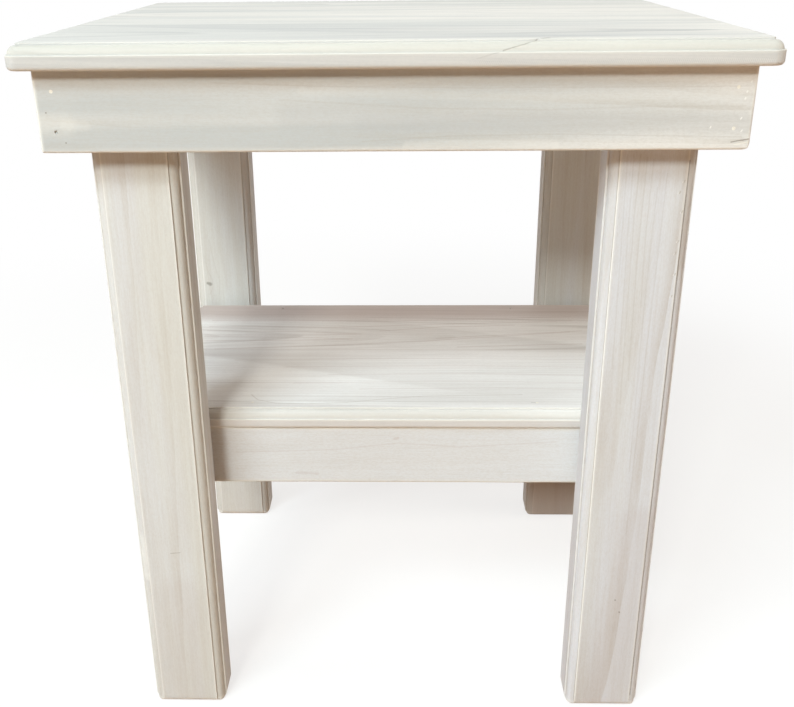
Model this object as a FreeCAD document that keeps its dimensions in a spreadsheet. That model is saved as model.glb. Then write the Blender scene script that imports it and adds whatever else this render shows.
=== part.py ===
"""End table with a lower shelf, built from separate boards, legs, rails and fasteners.

Millimetres, +Z up, front towards -Y, origin on the floor under the middle of the table.
"""
import FreeCAD, Part
import os

# Driving dimensions: alias, value, meaning
SIZES = [
    ("table_height", 575.0, "floor to the upper face of the top"),
    ("top_width", 508.0, "top, left to right"),
    ("top_depth", 430.0, "top, front to back"),
    ("top_thickness", 17.5, "boards of the top"),
    ("top_board_width", 140.0, "front and rear board of the top, the middle one takes the rest"),
    ("top_overhang", 13.5, "edge of the top to the face of the apron"),
    ("bead_radius", 6.0, "routed quarter-round bead"),
    ("bead_step", 1.5, "step beside the bead, on both faces"),
    ("corner_radius", 2.5, "corners of the flat inside the routed edge, seen from above"),
    ("underside_round", 3.0, "lower edge of the top and the shelf"),
    ("apron_height", 56.0, "apron boards"),
    ("apron_thickness", 24.5, "apron boards"),
    ("leg_width", 63.5, "leg, left to right"),
    ("leg_depth", 40.0, "leg, front to back"),
    ("foot_round", 6.0, "lower edges of the legs"),
    ("shelf_height", 271.0, "floor to the upper face of the shelf"),
    ("shelf_thickness", 16.0, "boards of the shelf"),
    ("shelf_gap", 4.0, "edge of the shelf to the legs"),
    ("shelf_reveal", 3.5, "edge of the shelf to the face of the rails"),
    ("rail_height", 54.0, "rails under the shelf"),
    ("rail_thickness", 24.5, "rails under the shelf"),
    ("edge_ease", 2.0, "rounded arrises of aprons, rails and cleats"),
    ("cleat_size", 20.0, "square section of the cleats"),
    ("cleat_gap", 3.0, "end of a cleat to the leg"),
    ("cleat_screw_inset", 30.0, "end of a cleat to its outer screws"),
    ("cleat_screw_bite", 12.0, "screw length beyond the cleat"),
    ("leg_screw_inset", 14.0, "leg screws from the apron's upper and lower edge"),
    ("leg_screw_bite", 18.0, "screw length beyond the leg"),
    ("screw_radius", 2.1, "shank"),
    ("screw_head_radius", 4.1, "countersunk head"),
    ("screw_head_height", 2.8, "countersunk head"),
    ("screw_tip", 5.0, "length of the point"),
    ("brad_radius", 0.7, "wire"),
    ("brad_head_radius", 1.2, "head"),
    ("brad_head_height", 1.0, "head"),
    ("brad_set", 1.2, "head below the surface"),
    ("brad_bite", 22.0, "length in the second piece"),
    ("apron_brad_inset", 14.5, "apron brads from the apron's upper and lower edge"),
    ("rail_brad_inset", 6.0, "rail brads from the rail's upper and lower edge"),
    ("shelf_brad_inset", 18.0, "shelf brads from the edge of the shelf"),
    ("shelf_brad_spread", 242.0, "distance between the two shelf brads of a rail"),
    ("dowel_radius", 4.0, "rail dowels"),
    ("dowel_length", 40.0, "half in the rail, half in the leg"),
    ("dowel_spacing", 20.0, "distance between the two dowels of a joint"),
    ("fastener_fit", 0.05, "room round a fastener in its hole"),
]

# Places that follow from the driving dimensions, as expressions
BEAD = "(Sizes.bead_radius + Sizes.bead_step)"
APRON_X = "(Sizes.top_width / 2 - Sizes.top_overhang)"
APRON_Y = "(Sizes.top_depth / 2 - Sizes.top_overhang)"
APRON_TOP = "(Sizes.table_height - Sizes.top_thickness)"
APRON_BOTTOM = f"({APRON_TOP} - Sizes.apron_height)"
LEG_X = f"({APRON_X} - Sizes.apron_thickness)"
LEG_Y = f"({APRON_Y} - Sizes.apron_thickness)"
LEG_INNER_X = f"({LEG_X} - Sizes.leg_width)"
LEG_INNER_Y = f"({LEG_Y} - Sizes.leg_depth)"
CLEAT_X = f"({LEG_INNER_X} - Sizes.cleat_gap)"
CLEAT_Y = f"({LEG_Y} - Sizes.cleat_size)"
CLEAT_BOTTOM = f"({APRON_TOP} - Sizes.cleat_size)"
SHELF_Y = f"({LEG_INNER_Y} - Sizes.shelf_gap)"
SHELF_BOTTOM = "(Sizes.shelf_height - Sizes.shelf_thickness)"
RAIL_X = f"({LEG_X} - Sizes.shelf_reveal)"
RAIL_Y = f"({SHELF_Y} - Sizes.shelf_reveal)"
RAIL_INNER_X = f"({RAIL_X} - Sizes.rail_thickness)"
RAIL_BOTTOM = f"({SHELF_BOTTOM} - Sizes.rail_height)"

# The two sides of the table, as a factor in an expression: left or front, right or back
NEAR = "-1"
FAR = "1"
BOTH = (NEAR, FAR)
SIDE_NAMES = {NEAR: "left", FAR: "right"}
END_NAMES = {NEAR: "front", FAR: "back"}

UP = FreeCAD.Vector(0, 0, 1)
DOWN = FreeCAD.Vector(0, 0, -1)
ALONG_X = FreeCAD.Vector(1, 0, 0)
ALONG_Y = FreeCAD.Vector(0, 1, 0)

# Lengths closer than this count as equal
SAME = 1e-6

doc = FreeCAD.newDocument("EndTable")
nodes = {}


def write_sizes():
    """Put the driving dimensions into the sheet, one aliased cell each."""
    sheet = doc.addObject("Spreadsheet::Sheet", "Sizes")
    for row, (alias, value, meaning) in enumerate(SIZES, start=1):
        sheet.set(f"A{row}", meaning)
        sheet.set(f"B{row}", str(value))
        sheet.setAlias(f"B{row}", alias)
    doc.recompute()


def bind(obj, **expressions):
    """Tie properties of an object to expressions."""
    for name, expression in expressions.items():
        obj.setExpression(name, expression)
    return obj


def place(obj, x, y, z, direction=UP):
    """Put an object at a point given by expressions, with its own Z along a direction."""
    obj.Placement = FreeCAD.Placement(FreeCAD.Vector(), FreeCAD.Rotation(UP, direction))
    for axis, expression in zip("xyz", (x, y, z)):
        obj.setExpression(f"Placement.Base.{axis}", expression)
    return obj


def edges_along(shape, direction):
    """Names of the straight edges that run along a direction."""
    names = []
    for number, edge in enumerate(shape.Edges, start=1):
        line = edge.Vertexes[-1].Point - edge.Vertexes[0].Point
        if line.cross(direction).Length < SAME * line.Length:
            names.append(f"Edge{number}")
    return names


def edges_at(shape, height):
    """Names of the edges that lie level at a height."""
    names = []
    for number, edge in enumerate(shape.Edges, start=1):
        box = edge.BoundBox
        if abs(box.ZMin - height) < SAME and abs(box.ZMax - height) < SAME:
            names.append(f"Edge{number}")
    return names


def round_edges(body, feature, edge_names, radius):
    """Round edges of a body's last feature, and give the new last feature."""
    rounded = body.newObject("PartDesign::Fillet", feature.Name + "_rounded")
    rounded.Base = (feature, edge_names)
    bind(rounded, Radius=radius)
    doc.recompute()
    return rounded


def blank(name, x, y, z, length, width, height):
    """Body with one box feature, low corner and size given by expressions."""
    body = doc.addObject("PartDesign::Body", name)
    feature = body.newObject("PartDesign::AdditiveBox", name + "_blank")
    bind(feature, Length=length, Width=width, Height=height)
    place(body, x, y, z)
    doc.recompute()
    return body, feature


def board(name, x, y, z, length, width, height, eased):
    """Sawn board with its arrises eased along the given directions."""
    body, feature = blank(name, x, y, z, length, width, height)
    names = []
    for direction in eased:
        names += edges_along(feature.Shape, direction)
    round_edges(body, feature, names, "Sizes.edge_ease")
    return body


def panel_layer(name, width, depth, inset, low, height):
    """One level of a routed panel, with its corners rounded in plan."""
    length = f"({width} - 2 * {inset})"
    across = f"({depth} - 2 * {inset})"
    body, feature = blank(name, f"-{length} / 2", f"-{across} / 2", low, length, across, height)
    corners = edges_along(feature.Shape, UP)
    radius = f"Sizes.corner_radius + {BEAD} - {inset}"
    return body, round_edges(body, feature, corners, radius)


def routed_panel(name, width, depth, thickness, low):
    """Panel with a step, a bead and a step round its upper edge, and a rounded lower edge."""
    slab, slab_top = panel_layer(name + "_slab", width, depth, "0", low, f"{thickness} - {BEAD}")
    round_edges(slab, slab_top, edges_at(slab_top.Shape, 0), "Sizes.underside_round")
    inside = f"{low} + Sizes.underside_round"
    rise = f"{thickness} - Sizes.underside_round"
    bead, bead_top = panel_layer(
        name + "_bead", width, depth, "Sizes.bead_step", inside, f"{rise} - Sizes.bead_step")
    upper = edges_at(bead_top.Shape, bead_top.Shape.BoundBox.ZMax)
    round_edges(bead, bead_top, upper, "Sizes.bead_radius")
    crown, _ = panel_layer(name + "_crown", width, depth, BEAD, inside, rise)
    panel = doc.addObject("Part::MultiFuse", name)
    panel.Shapes = [slab, bead, crown]
    panel.Refine = True
    return panel


def panel_board(name, panel, width, front, back, low, thickness):
    """One board of a glued panel: the stretch of the panel between two distances from the middle."""
    stretch = doc.addObject("Part::Box", name + "_stretch")
    bind(stretch, Length=width, Width=f"{back} - ({front})", Height=thickness)
    place(stretch, f"-{width} / 2", front, low)
    piece = doc.addObject("Part::Common", name + "_board")
    piece.Base = panel
    piece.Tool = stretch
    return piece


def beaded_leg(name, side, end):
    """Post with a bead on each upright corner and a rounded foot."""
    half_x = "Sizes.leg_width / 2"
    half_y = "Sizes.leg_depth / 2"
    bead_x = f"({half_x} - {BEAD})"
    bead_y = f"({half_y} - {BEAD})"
    wide = doc.addObject("Part::Box", name + "_wide")
    bind(wide, Length="Sizes.leg_width", Width=f"2 * {bead_y}", Height=APRON_TOP)
    place(wide, f"-{half_x}", f"-{bead_y}", "0")
    deep = doc.addObject("Part::Box", name + "_deep")
    bind(deep, Length=f"2 * {bead_x}", Width="Sizes.leg_depth", Height=APRON_TOP)
    place(deep, f"-{bead_x}", f"-{half_y}", "0")
    shapes = [wide, deep]
    for left_right in BOTH:
        for front_back in BOTH:
            bead = doc.addObject("Part::Cylinder", name + "_bead")
            bind(bead, Radius="Sizes.bead_radius", Height=APRON_TOP)
            place(bead, f"{left_right} * {bead_x}", f"{front_back} * {bead_y}", "0")
            shapes.append(bead)
    post = doc.addObject("Part::MultiFuse", name + "_post")
    post.Shapes = shapes
    post.Refine = True
    foot, feature = blank(
        name + "_foot", f"-{half_x}", f"-{half_y}", "0", "Sizes.leg_width", "Sizes.leg_depth", APRON_TOP)
    round_edges(foot, feature, edges_at(feature.Shape, 0), "Sizes.foot_round")
    leg = doc.addObject("Part::Common", name + "_blank")
    leg.Base = post
    leg.Tool = foot
    return place(leg, f"{side} * ({LEG_X} - {half_x})", f"{end} * ({LEG_Y} - {half_y})", "0")


def screw_pieces(name, length, room):
    """Head, shank and point of a countersunk screw that drives along its own +Z."""
    head = doc.addObject("Part::Cone", name + "_head")
    bind(head, Radius1=f"Sizes.screw_head_radius + {room}", Radius2=f"Sizes.screw_radius + {room}",
         Height="Sizes.screw_head_height")
    shank = doc.addObject("Part::Cylinder", name + "_shank")
    bind(shank, Radius=f"Sizes.screw_radius + {room}",
         Height=f"{length} - Sizes.screw_head_height - Sizes.screw_tip")
    place(shank, "0", "0", "Sizes.screw_head_height")
    tip = doc.addObject("Part::Cone", name + "_tip")
    bind(tip, Radius1=f"Sizes.screw_radius + {room}", Height=f"Sizes.screw_tip + {room}")
    tip.Radius2 = 0
    place(tip, "0", "0", f"{length} - Sizes.screw_tip")
    return [head, shank, tip]


def brad_pieces(name, length, room, above):
    """Head and wire of a brad that drives along its own +Z, with the height of the hole above it."""
    head = doc.addObject("Part::Cylinder", name + "_head")
    bind(head, Radius=f"Sizes.brad_head_radius + {room}", Height=f"Sizes.brad_head_height + {above}")
    place(head, "0", "0", f"-{above}")
    wire = doc.addObject("Part::Cylinder", name + "_wire")
    bind(wire, Radius=f"Sizes.brad_radius + {room}", Height=f"{length} + {room}")
    return [head, wire]


def group(name, pieces, spots):
    """Copies of a fastener, or of its hole, at each spot (x, y, z, direction)."""
    copies = []
    for x, y, z, direction in spots:
        copy = doc.addObject("Part::MultiFuse", name + "_copy")
        copy.Shapes = pieces
        copies.append(place(copy, x, y, z, direction))
    whole = doc.addObject("Part::Compound", name)
    whole.Links = copies
    return whole


def add_node(name, obj):
    """Make an object one of the table's pieces."""
    obj.Label = name
    nodes[name] = obj


def add_screws(name, length, spots):
    """Screws as one piece group, and their holes."""
    add_node(name, group(name, screw_pieces(name, length, "0"), spots))
    return group(name + "_holes", screw_pieces(name + "_hole", length, "Sizes.fastener_fit"), spots)


def add_brads(name, thickness, spots):
    """Brads through a piece of a given thickness as one piece group, and their holes."""
    length = f"({thickness} - Sizes.brad_set + Sizes.brad_bite)"
    add_node(name, group(name, brad_pieces(name, length, "0", "0"), spots))
    hole = brad_pieces(name + "_hole", length, "Sizes.fastener_fit", "Sizes.brad_set")
    return group(name + "_holes", hole, spots)


def add_drilled(name, piece, holes):
    """Drill a piece with groups of holes, and make it one of the table's pieces."""
    drilled = doc.addObject("Part::Cut", name + "_drilled")
    drilled.Base = piece
    tool = doc.addObject("Part::Compound", name + "_holes")
    tool.Links = holes
    drilled.Tool = tool
    add_node(name, drilled)


def leg_screw_spots():
    """Two screws in each leg, from its inner face out into the front or back apron."""
    spots = []
    for end in BOTH:
        for side in BOTH:
            x = f"{side} * ({LEG_X} - Sizes.leg_width / 2)"
            y = f"{end} * {LEG_INNER_Y}"
            for z in (f"{APRON_TOP} - Sizes.leg_screw_inset", f"{APRON_BOTTOM} + Sizes.leg_screw_inset"):
                spots.append((x, y, z, ALONG_Y * float(end)))
    return spots


def cleat_screw_spots():
    """Three screws in each cleat up into the top, and two out into the apron."""
    outer = f"({CLEAT_X} - Sizes.cleat_screw_inset)"
    spots = []
    for end in BOTH:
        y = f"{end} * ({LEG_Y} - Sizes.cleat_size / 2)"
        for side in (NEAR, "0", FAR):
            spots.append((f"{side} * {outer}", y, CLEAT_BOTTOM, UP))
        for side in BOTH:
            z = f"{APRON_TOP} - Sizes.cleat_size / 2"
            spots.append((f"{side} * {outer} / 2", f"{end} * {CLEAT_Y}", z, ALONG_Y * float(end)))
    return spots


def apron_brad_spots():
    """Two brads at each end of the front and back apron, into the ends of the side aprons."""
    spots = []
    for end in BOTH:
        for side in BOTH:
            x = f"{side} * ({APRON_X} - Sizes.apron_thickness / 2)"
            y = f"{end} * ({APRON_Y} - Sizes.brad_set)"
            for z in (f"{APRON_TOP} - Sizes.apron_brad_inset", f"{APRON_BOTTOM} + Sizes.apron_brad_inset"):
                spots.append((x, y, z, ALONG_Y * -float(end)))
    return spots


def rail_brad_spots():
    """Two brads at each end of the side rails, into the ends of the front and back rail."""
    spots = []
    for end in BOTH:
        for side in BOTH:
            x = f"{side} * ({RAIL_X} - Sizes.brad_set)"
            y = f"{end} * ({RAIL_Y} - Sizes.rail_thickness / 2)"
            for z in (f"{SHELF_BOTTOM} - Sizes.rail_brad_inset", f"{RAIL_BOTTOM} + Sizes.rail_brad_inset"):
                spots.append((x, y, z, ALONG_X * -float(side)))
    return spots


def shelf_brad_spots():
    """Two brads down through the shelf into each of the front and back rails."""
    spots = []
    for end in BOTH:
        for side in BOTH:
            y = f"{end} * ({SHELF_Y} - Sizes.shelf_brad_inset)"
            z = "Sizes.shelf_height - Sizes.brad_set"
            spots.append((f"{side} * Sizes.shelf_brad_spread / 2", y, z, DOWN))
    return spots


def dowel_group(name, room):
    """Two dowels, or their holes, in each joint between a side rail and a leg."""
    rods = []
    for end in BOTH:
        for side in BOTH:
            for level in BOTH:
                rod = doc.addObject("Part::Cylinder", name + "_rod")
                bind(rod, Radius=f"Sizes.dowel_radius + {room}", Height=f"Sizes.dowel_length + 2 * {room}")
                x = f"{side} * ({RAIL_X} - Sizes.rail_thickness / 2)"
                y = f"{end} * {LEG_INNER_Y} - Sizes.dowel_length / 2 - {room}"
                z = f"{RAIL_BOTTOM} + Sizes.rail_height / 2 + {level} * Sizes.dowel_spacing / 2"
                rods.append(place(rod, x, y, z, ALONG_Y))
    whole = doc.addObject("Part::Compound", name)
    whole.Links = rods
    return whole


def add_top(cleat_screw_holes):
    """Three edge-glued boards, held up by the apron and screwed from the cleats."""
    width = "Sizes.top_width"
    thick = "Sizes.top_thickness"
    edge = "Sizes.top_depth / 2"
    seam = f"({edge} - Sizes.top_board_width)"
    panel = routed_panel("top_panel", width, "Sizes.top_depth", thick, APRON_TOP)
    front = panel_board("top_front", panel, width, f"-{edge}", f"-{seam}", APRON_TOP, thick)
    middle = panel_board("top_middle", panel, width, f"-{seam}", seam, APRON_TOP, thick)
    rear = panel_board("top_rear", panel, width, seam, edge, APRON_TOP, thick)
    add_drilled("top_board_front", front, [cleat_screw_holes])
    add_node("top_board_middle", middle)
    add_drilled("top_board_rear", rear, [cleat_screw_holes])


def add_aprons(front_back_holes, side_holes):
    """Front and back board over the full width, side boards between them."""
    thick = "Sizes.apron_thickness"
    high = "Sizes.apron_height"
    for end, name in END_NAMES.items():
        y = {NEAR: f"-{APRON_Y}", FAR: LEG_Y}[end]
        piece = board("apron_board_" + name, f"-{APRON_X}", y, APRON_BOTTOM,
                      f"2 * {APRON_X}", thick, high, (ALONG_X, ALONG_Y, UP))
        add_drilled("apron_" + name, piece, front_back_holes)
    for side, name in SIDE_NAMES.items():
        x = {NEAR: f"-{APRON_X}", FAR: LEG_X}[side]
        piece = board("apron_board_" + name, x, f"-{LEG_Y}", APRON_BOTTOM,
                      thick, f"2 * {LEG_Y}", high, (ALONG_Y,))
        add_drilled("apron_" + name, piece, side_holes)


def add_legs(holes):
    """Four legs in the corners of the apron."""
    for end, end_name in END_NAMES.items():
        for side, side_name in SIDE_NAMES.items():
            name = f"leg_{end_name}_{side_name}"
            add_drilled(name, beaded_leg(name, side, end), holes)


def add_cleats(holes):
    """Square cleats inside the front and back apron, under the top."""
    for end, name in END_NAMES.items():
        y = {NEAR: f"-{LEG_Y}", FAR: CLEAT_Y}[end]
        piece = board("cleat_board_" + name, f"-{CLEAT_X}", y, CLEAT_BOTTOM,
                      f"2 * {CLEAT_X}", "Sizes.cleat_size", "Sizes.cleat_size", (ALONG_X,))
        add_drilled("top_cleat_" + name, piece, holes)


def add_shelf(holes):
    """Two edge-glued boards on the rails."""
    width = f"(2 * {LEG_X})"
    thick = "Sizes.shelf_thickness"
    panel = routed_panel("shelf_panel", width, f"(2 * {SHELF_Y})", thick, SHELF_BOTTOM)
    front = panel_board("shelf_front", panel, width, f"-{SHELF_Y}", "0", SHELF_BOTTOM, thick)
    rear = panel_board("shelf_rear", panel, width, "0", SHELF_Y, SHELF_BOTTOM, thick)
    add_drilled("shelf_board_front", front, holes)
    add_drilled("shelf_board_rear", rear, holes)


def add_rails(front_back_holes, side_holes):
    """Side rails between the legs, front and back rail between the side rails."""
    thick = "Sizes.rail_thickness"
    high = "Sizes.rail_height"
    for end, name in END_NAMES.items():
        y = {NEAR: f"-{RAIL_Y}", FAR: f"{RAIL_Y} - {thick}"}[end]
        piece = board("rail_board_" + name, f"-{RAIL_INNER_X}", y, RAIL_BOTTOM,
                      f"2 * {RAIL_INNER_X}", thick, high, (ALONG_X,))
        add_drilled("shelf_rail_" + name, piece, front_back_holes)
    for side, name in SIDE_NAMES.items():
        x = {NEAR: f"-{RAIL_X}", FAR: RAIL_INNER_X}[side]
        piece = board("rail_board_" + name, x, f"-{LEG_INNER_Y}", RAIL_BOTTOM,
                      thick, f"2 * {LEG_INNER_Y}", high, (ALONG_Y,))
        add_drilled("shelf_rail_" + name, piece, side_holes)


def build():
    """Fasteners first, because their holes go through the wooden pieces."""
    leg_screw = "(Sizes.leg_depth + Sizes.leg_screw_bite)"
    cleat_screw = "(Sizes.cleat_size + Sizes.cleat_screw_bite)"
    leg_holes = add_screws("leg_screws", leg_screw, leg_screw_spots())
    cleat_holes = add_screws("cleat_screws", cleat_screw, cleat_screw_spots())
    apron_holes = add_brads("apron_brads", "Sizes.apron_thickness", apron_brad_spots())
    rail_holes = add_brads("rail_brads", "Sizes.rail_thickness", rail_brad_spots())
    shelf_holes = add_brads("shelf_brads", "Sizes.shelf_thickness", shelf_brad_spots())
    add_node("rail_dowels", dowel_group("rail_dowels", "0"))
    dowel_holes = dowel_group("rail_dowel_holes", "Sizes.fastener_fit")
    add_top(cleat_holes)
    add_aprons([leg_holes, cleat_holes, apron_holes], [apron_holes])
    add_legs([leg_holes, dowel_holes])
    add_cleats([cleat_holes])
    add_shelf([shelf_holes])
    add_rails([rail_holes, shelf_holes], [rail_holes, dowel_holes])
    doc.recompute()


def check():
    """Stop if any object failed or any piece isn't made of sound solids."""
    for obj in doc.Objects:
        if "Invalid" in obj.State or "Error" in obj.State:
            raise RuntimeError(f"{obj.Name} failed: {obj.State}")
    for name, obj in nodes.items():
        shape = obj.Shape
        if shape.isNull() or not shape.isValid() or not shape.Solids:
            raise RuntimeError(f"{name} has no sound solid")


def export():
    """One STEP file for each piece."""
    os.makedirs("parts", exist_ok=True)
    for name, obj in nodes.items():
        obj.Shape.exportStep(f"parts/{name}.step")
        print(f"{name}: {len(obj.Shape.Solids)} solids, {obj.Shape.Volume:.0f} mm3")


write_sizes()
build()
check()
export()
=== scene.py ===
"""Looks of a whitewashed end table with a shelf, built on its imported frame.

Metres, +Z up, front towards -Y, origin on the floor under the middle of the table.
"""
import math
from collections import namedtuple

import bmesh
import bpy
from mathutils import Matrix, Vector, noise


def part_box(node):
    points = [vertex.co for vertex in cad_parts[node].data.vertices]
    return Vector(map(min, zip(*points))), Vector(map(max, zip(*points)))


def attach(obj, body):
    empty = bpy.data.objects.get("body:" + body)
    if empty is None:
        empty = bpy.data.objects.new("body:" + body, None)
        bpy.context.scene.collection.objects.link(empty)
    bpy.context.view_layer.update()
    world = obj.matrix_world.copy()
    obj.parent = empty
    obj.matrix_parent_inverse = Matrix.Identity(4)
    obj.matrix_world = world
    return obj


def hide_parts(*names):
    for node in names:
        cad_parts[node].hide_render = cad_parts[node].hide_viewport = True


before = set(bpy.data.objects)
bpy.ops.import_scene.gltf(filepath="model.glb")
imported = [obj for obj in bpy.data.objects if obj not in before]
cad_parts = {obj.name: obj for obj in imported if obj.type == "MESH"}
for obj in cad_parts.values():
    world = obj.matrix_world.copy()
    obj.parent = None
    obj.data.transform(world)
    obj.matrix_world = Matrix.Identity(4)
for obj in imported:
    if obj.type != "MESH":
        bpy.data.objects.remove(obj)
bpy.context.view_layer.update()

MM = 0.001
BODY = "root"
X, Y, Z = 0, 1, 2

# Routed edge of the top and the shelf, and of the legs' upright corners
BEAD_RADIUS = 6.0 * MM
BEAD_STEP = 1.5 * MM
BEAD = BEAD_RADIUS + BEAD_STEP
BEAD_SEGMENTS = 14
ARRIS = 0.35 * MM
# Width of the band beside the bead's arris that takes the paler rim colour: partly wear, partly painted
# highlight
RIM_WIDTH = 0.8 * MM
FACE_MARGIN = 2.2 * MM
PLAN_RADIUS = 10.0 * MM
UNDERSIDE_ROUND = 3.0 * MM

# Rounded arrises of the plain boards, and the feet
EASE = 2.0 * MM
EASE_SEGMENTS = 5
FOOT_ROUND = 6.0 * MM
FOOT_CORNER = 3.0 * MM
STATION = 9.0 * MM
LEAST_ARC = ARRIS / 5

# Fasteners
SCREW_HEAD_HEIGHT = 2.8 * MM
SCREW_ROOT_RADIUS = 1.5 * MM
SCREW_CREST_RADIUS = 2.1 * MM
SCREW_TIP = 5.0 * MM
SCREW_POINT_RADIUS = 0.1 * MM
SCREW_PITCH = 2.4 * MM
THREAD_SHARE = 0.6
THREAD_STEPS = 14
RECESS_WIDTH = 1.1 * MM
RECESS_LENGTH = 4.4 * MM
RECESS_DEPTH = 1.8 * MM
SECOND_SLOT_SHARE = 0.9
BRAD_RADIUS = 0.7 * MM
BRAD_HEAD_HEIGHT = 1.0 * MM
BRAD_TIP = 3.0 * MM
BRAD_POINT_RADIUS = 0.05 * MM
BRAD_SET = 1.2 * MM
HOLE_ROOM = 0.05 * MM
FILLER_SHARE = 0.9
HOLE_SIDES = 24
HEAD_SIDES = 24
THROAT_SIDES = 20
SHAFT_SIDES = 16
TIP_SIDES = 12
SAME = 0.01 * MM

# Handwork: how far faces and arrises stray, and over what distance
PANEL_STRAY = 0.12 * MM
PANEL_STRAY_REACH = 30 * MM
LEG_BOW = 0.15 * MM
LEG_BOW_REACH = 60 * MM
EASE_SWAY = 0.3
EASE_SWAY_REACH = 40 * MM

# Wear and painted highlight of the edges, from 0 to 1, and the steps along a dent
UNDERSIDE_WEAR_AND_HIGHLIGHT = 0.5
FOOT_WEAR_AND_HIGHLIGHT = 0.7
DENT_WEAR_AND_HIGHLIGHT = 0.5
LEAST_ARRIS_WEAR_AND_HIGHLIGHT = 0.35
DENT_STEPS = (-1.0, -0.7, -0.35, 0.0, 0.35, 0.7, 1.0)

# Angle in degrees that shades as a crease, and how late along a board its tint turns
CREASE = 38
TINT_CURVE = 1.5

# Corners of a rectangle in turn: side along x, side along y, and first angle of the arc
CORNERS = ((1, 1, 0), (-1, 1, 90), (-1, -1, 180), (1, -1, 270))
CROSSWISE = (90, 270)


# Mesh making

def unevenness(place, reach, seed):
    """Smooth unevenness of handwork at a place, between -1 and 1."""
    return noise.noise(Vector(place) / reach + Vector((seed * 7.1, seed * 3.7, seed)))


def span(*nodes):
    """Lowest and highest corner of several CAD nodes together."""
    boxes = [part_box(node) for node in nodes]
    low = Vector(min(box[0][axis] for box in boxes) for axis in range(3))
    high = Vector(max(box[1][axis] for box in boxes) for axis in range(3))
    return low, high


def skin(rings):
    """Closed mesh over a stack of rings of (place, edge, quirk) points, with flat ends."""
    bm = bmesh.new()
    edge_layer = bm.verts.layers.float.new("edge")
    quirk_layer = bm.verts.layers.float.new("quirk")
    rows = []
    for ring in rings:
        row = []
        for place, edge, quirk in ring:
            vert = bm.verts.new(place)
            vert[edge_layer] = edge
            vert[quirk_layer] = quirk
            row.append(vert)
        rows.append(row)
    for lower, upper in zip(rows, rows[1:]):
        count = len(lower)
        for i in range(count):
            j = (i + 1) % count
            bm.faces.new((lower[i], lower[j], upper[j], upper[i]))
    bm.faces.new(list(reversed(rows[0])))
    bm.faces.new(rows[-1])
    bmesh.ops.remove_doubles(bm, verts=bm.verts, dist=SAME)
    bmesh.ops.recalc_face_normals(bm, faces=bm.faces)
    return bm


def to_object(name, bm):
    """Object of a finished bmesh."""
    mesh = bpy.data.meshes.new(name)
    bm.to_mesh(mesh)
    bm.free()
    piece = bpy.data.objects.new(name, mesh)
    bpy.context.scene.collection.objects.link(piece)
    return piece


def bake_modifiers(piece):
    """Turn a piece with live modifiers into a plain mesh."""
    bpy.context.view_layer.update()
    graph = bpy.context.evaluated_depsgraph_get()
    mesh = bpy.data.meshes.new_from_object(piece.evaluated_get(graph))
    piece.modifiers.clear()
    old = piece.data
    piece.data = mesh
    bpy.data.meshes.remove(old)
    mesh.name = piece.name


def shade(piece):
    """Smooth shading, with creases where faces meet at a sharp angle."""
    mesh = piece.data
    mesh.shade_smooth()
    mesh.set_sharp_from_angle(angle=math.radians(CREASE))


def carve(piece, cutter):
    """Cut the shape of another object out of a piece, and remove that object."""
    modifier = piece.modifiers.new("Carve", "BOOLEAN")
    modifier.operation = "DIFFERENCE"
    modifier.solver = "EXACT"
    modifier.object = cutter
    bake_modifiers(piece)
    bpy.data.objects.remove(cutter)


def mark_log(piece, axes, heart, lean, start, tints):
    """Store where each point lay in its log, the tint along the board, and how upright the surface is."""
    along, across, through = axes
    low = min(vert.co[along] for vert in piece.data.vertices)
    high = max(vert.co[along] for vert in piece.data.vertices)
    log = []
    tint = []
    side = []
    for vert in piece.data.vertices:
        place = vert.co
        share = (place[along] - low) / (high - low)
        log.append(place[along] + start)
        log.append(place[across] - heart[0])
        log.append(place[through] - heart[1] + lean * place[along])
        tint.append(tints[0] + (tints[1] - tints[0]) * share ** TINT_CURVE)
        side.append(math.hypot(vert.normal.x, vert.normal.y))
    attribute = piece.data.attributes.new("log", "FLOAT_VECTOR", "POINT")
    attribute.data.foreach_set("vector", log)
    for name, values in (("tint", tint), ("side", side)):
        attribute = piece.data.attributes.new(name, "FLOAT", "POINT")
        attribute.data.foreach_set("value", values)


def bead_profile():
    """Routed edge from the flat face to the side face.

    Its points are (in from the side, down from the face, edge, quirk).
    """
    flat = [
        (BEAD + FACE_MARGIN, 0.0, 0.0, 0.0),
        (BEAD + RIM_WIDTH, 0.0, 0.4, 0.0),
        (BEAD + ARRIS, 0.0, 0.9, 0.0),
        (BEAD + 0.3 * ARRIS, 0.3 * ARRIS, 1.0, 0.0),
        (BEAD, ARRIS, 0.6, 0.0),
        (BEAD, BEAD_STEP - ARRIS, 0.0, 0.4),
    ]
    curve = []
    for step in range(BEAD_SEGMENTS + 1):
        angle = math.radians(90 * step / BEAD_SEGMENTS)
        quirk = 1.0 if step in (0, BEAD_SEGMENTS) else 0.0
        inward = BEAD - BEAD_RADIUS * math.sin(angle)
        down = BEAD - BEAD_RADIUS * math.cos(angle)
        curve.append((inward, down, 0.0, quirk))
    side = [(down, inward, edge, quirk) for inward, down, edge, quirk in reversed(flat)]
    return flat + curve + side


def plan_ring(half_x, half_y, inset):
    """Rounded rectangle seen from above, with points along its sides."""
    points = []
    radius = max(PLAN_RADIUS - inset, ARRIS)
    for side_x, side_y, first in CORNERS:
        centre = Vector((side_x * (half_x - inset - radius), side_y * (half_y - inset - radius)))
        for step in range(BEAD_SEGMENTS + 1):
            angle = math.radians(first + 90 * step / BEAD_SEGMENTS)
            points.append(centre + radius * Vector((math.cos(angle), math.sin(angle))))
        length = 2 * (half_y if first in CROSSWISE else half_x)
        count = round(length / STATION)
        turn = math.radians(first + 90)
        onward = Vector((-math.sin(turn), math.cos(turn)))
        start = points[-1]
        run = length - 2 * inset - radius - radius
        for step in range(1, count):
            points.append(start + onward * run * step / count)
    return points


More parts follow.
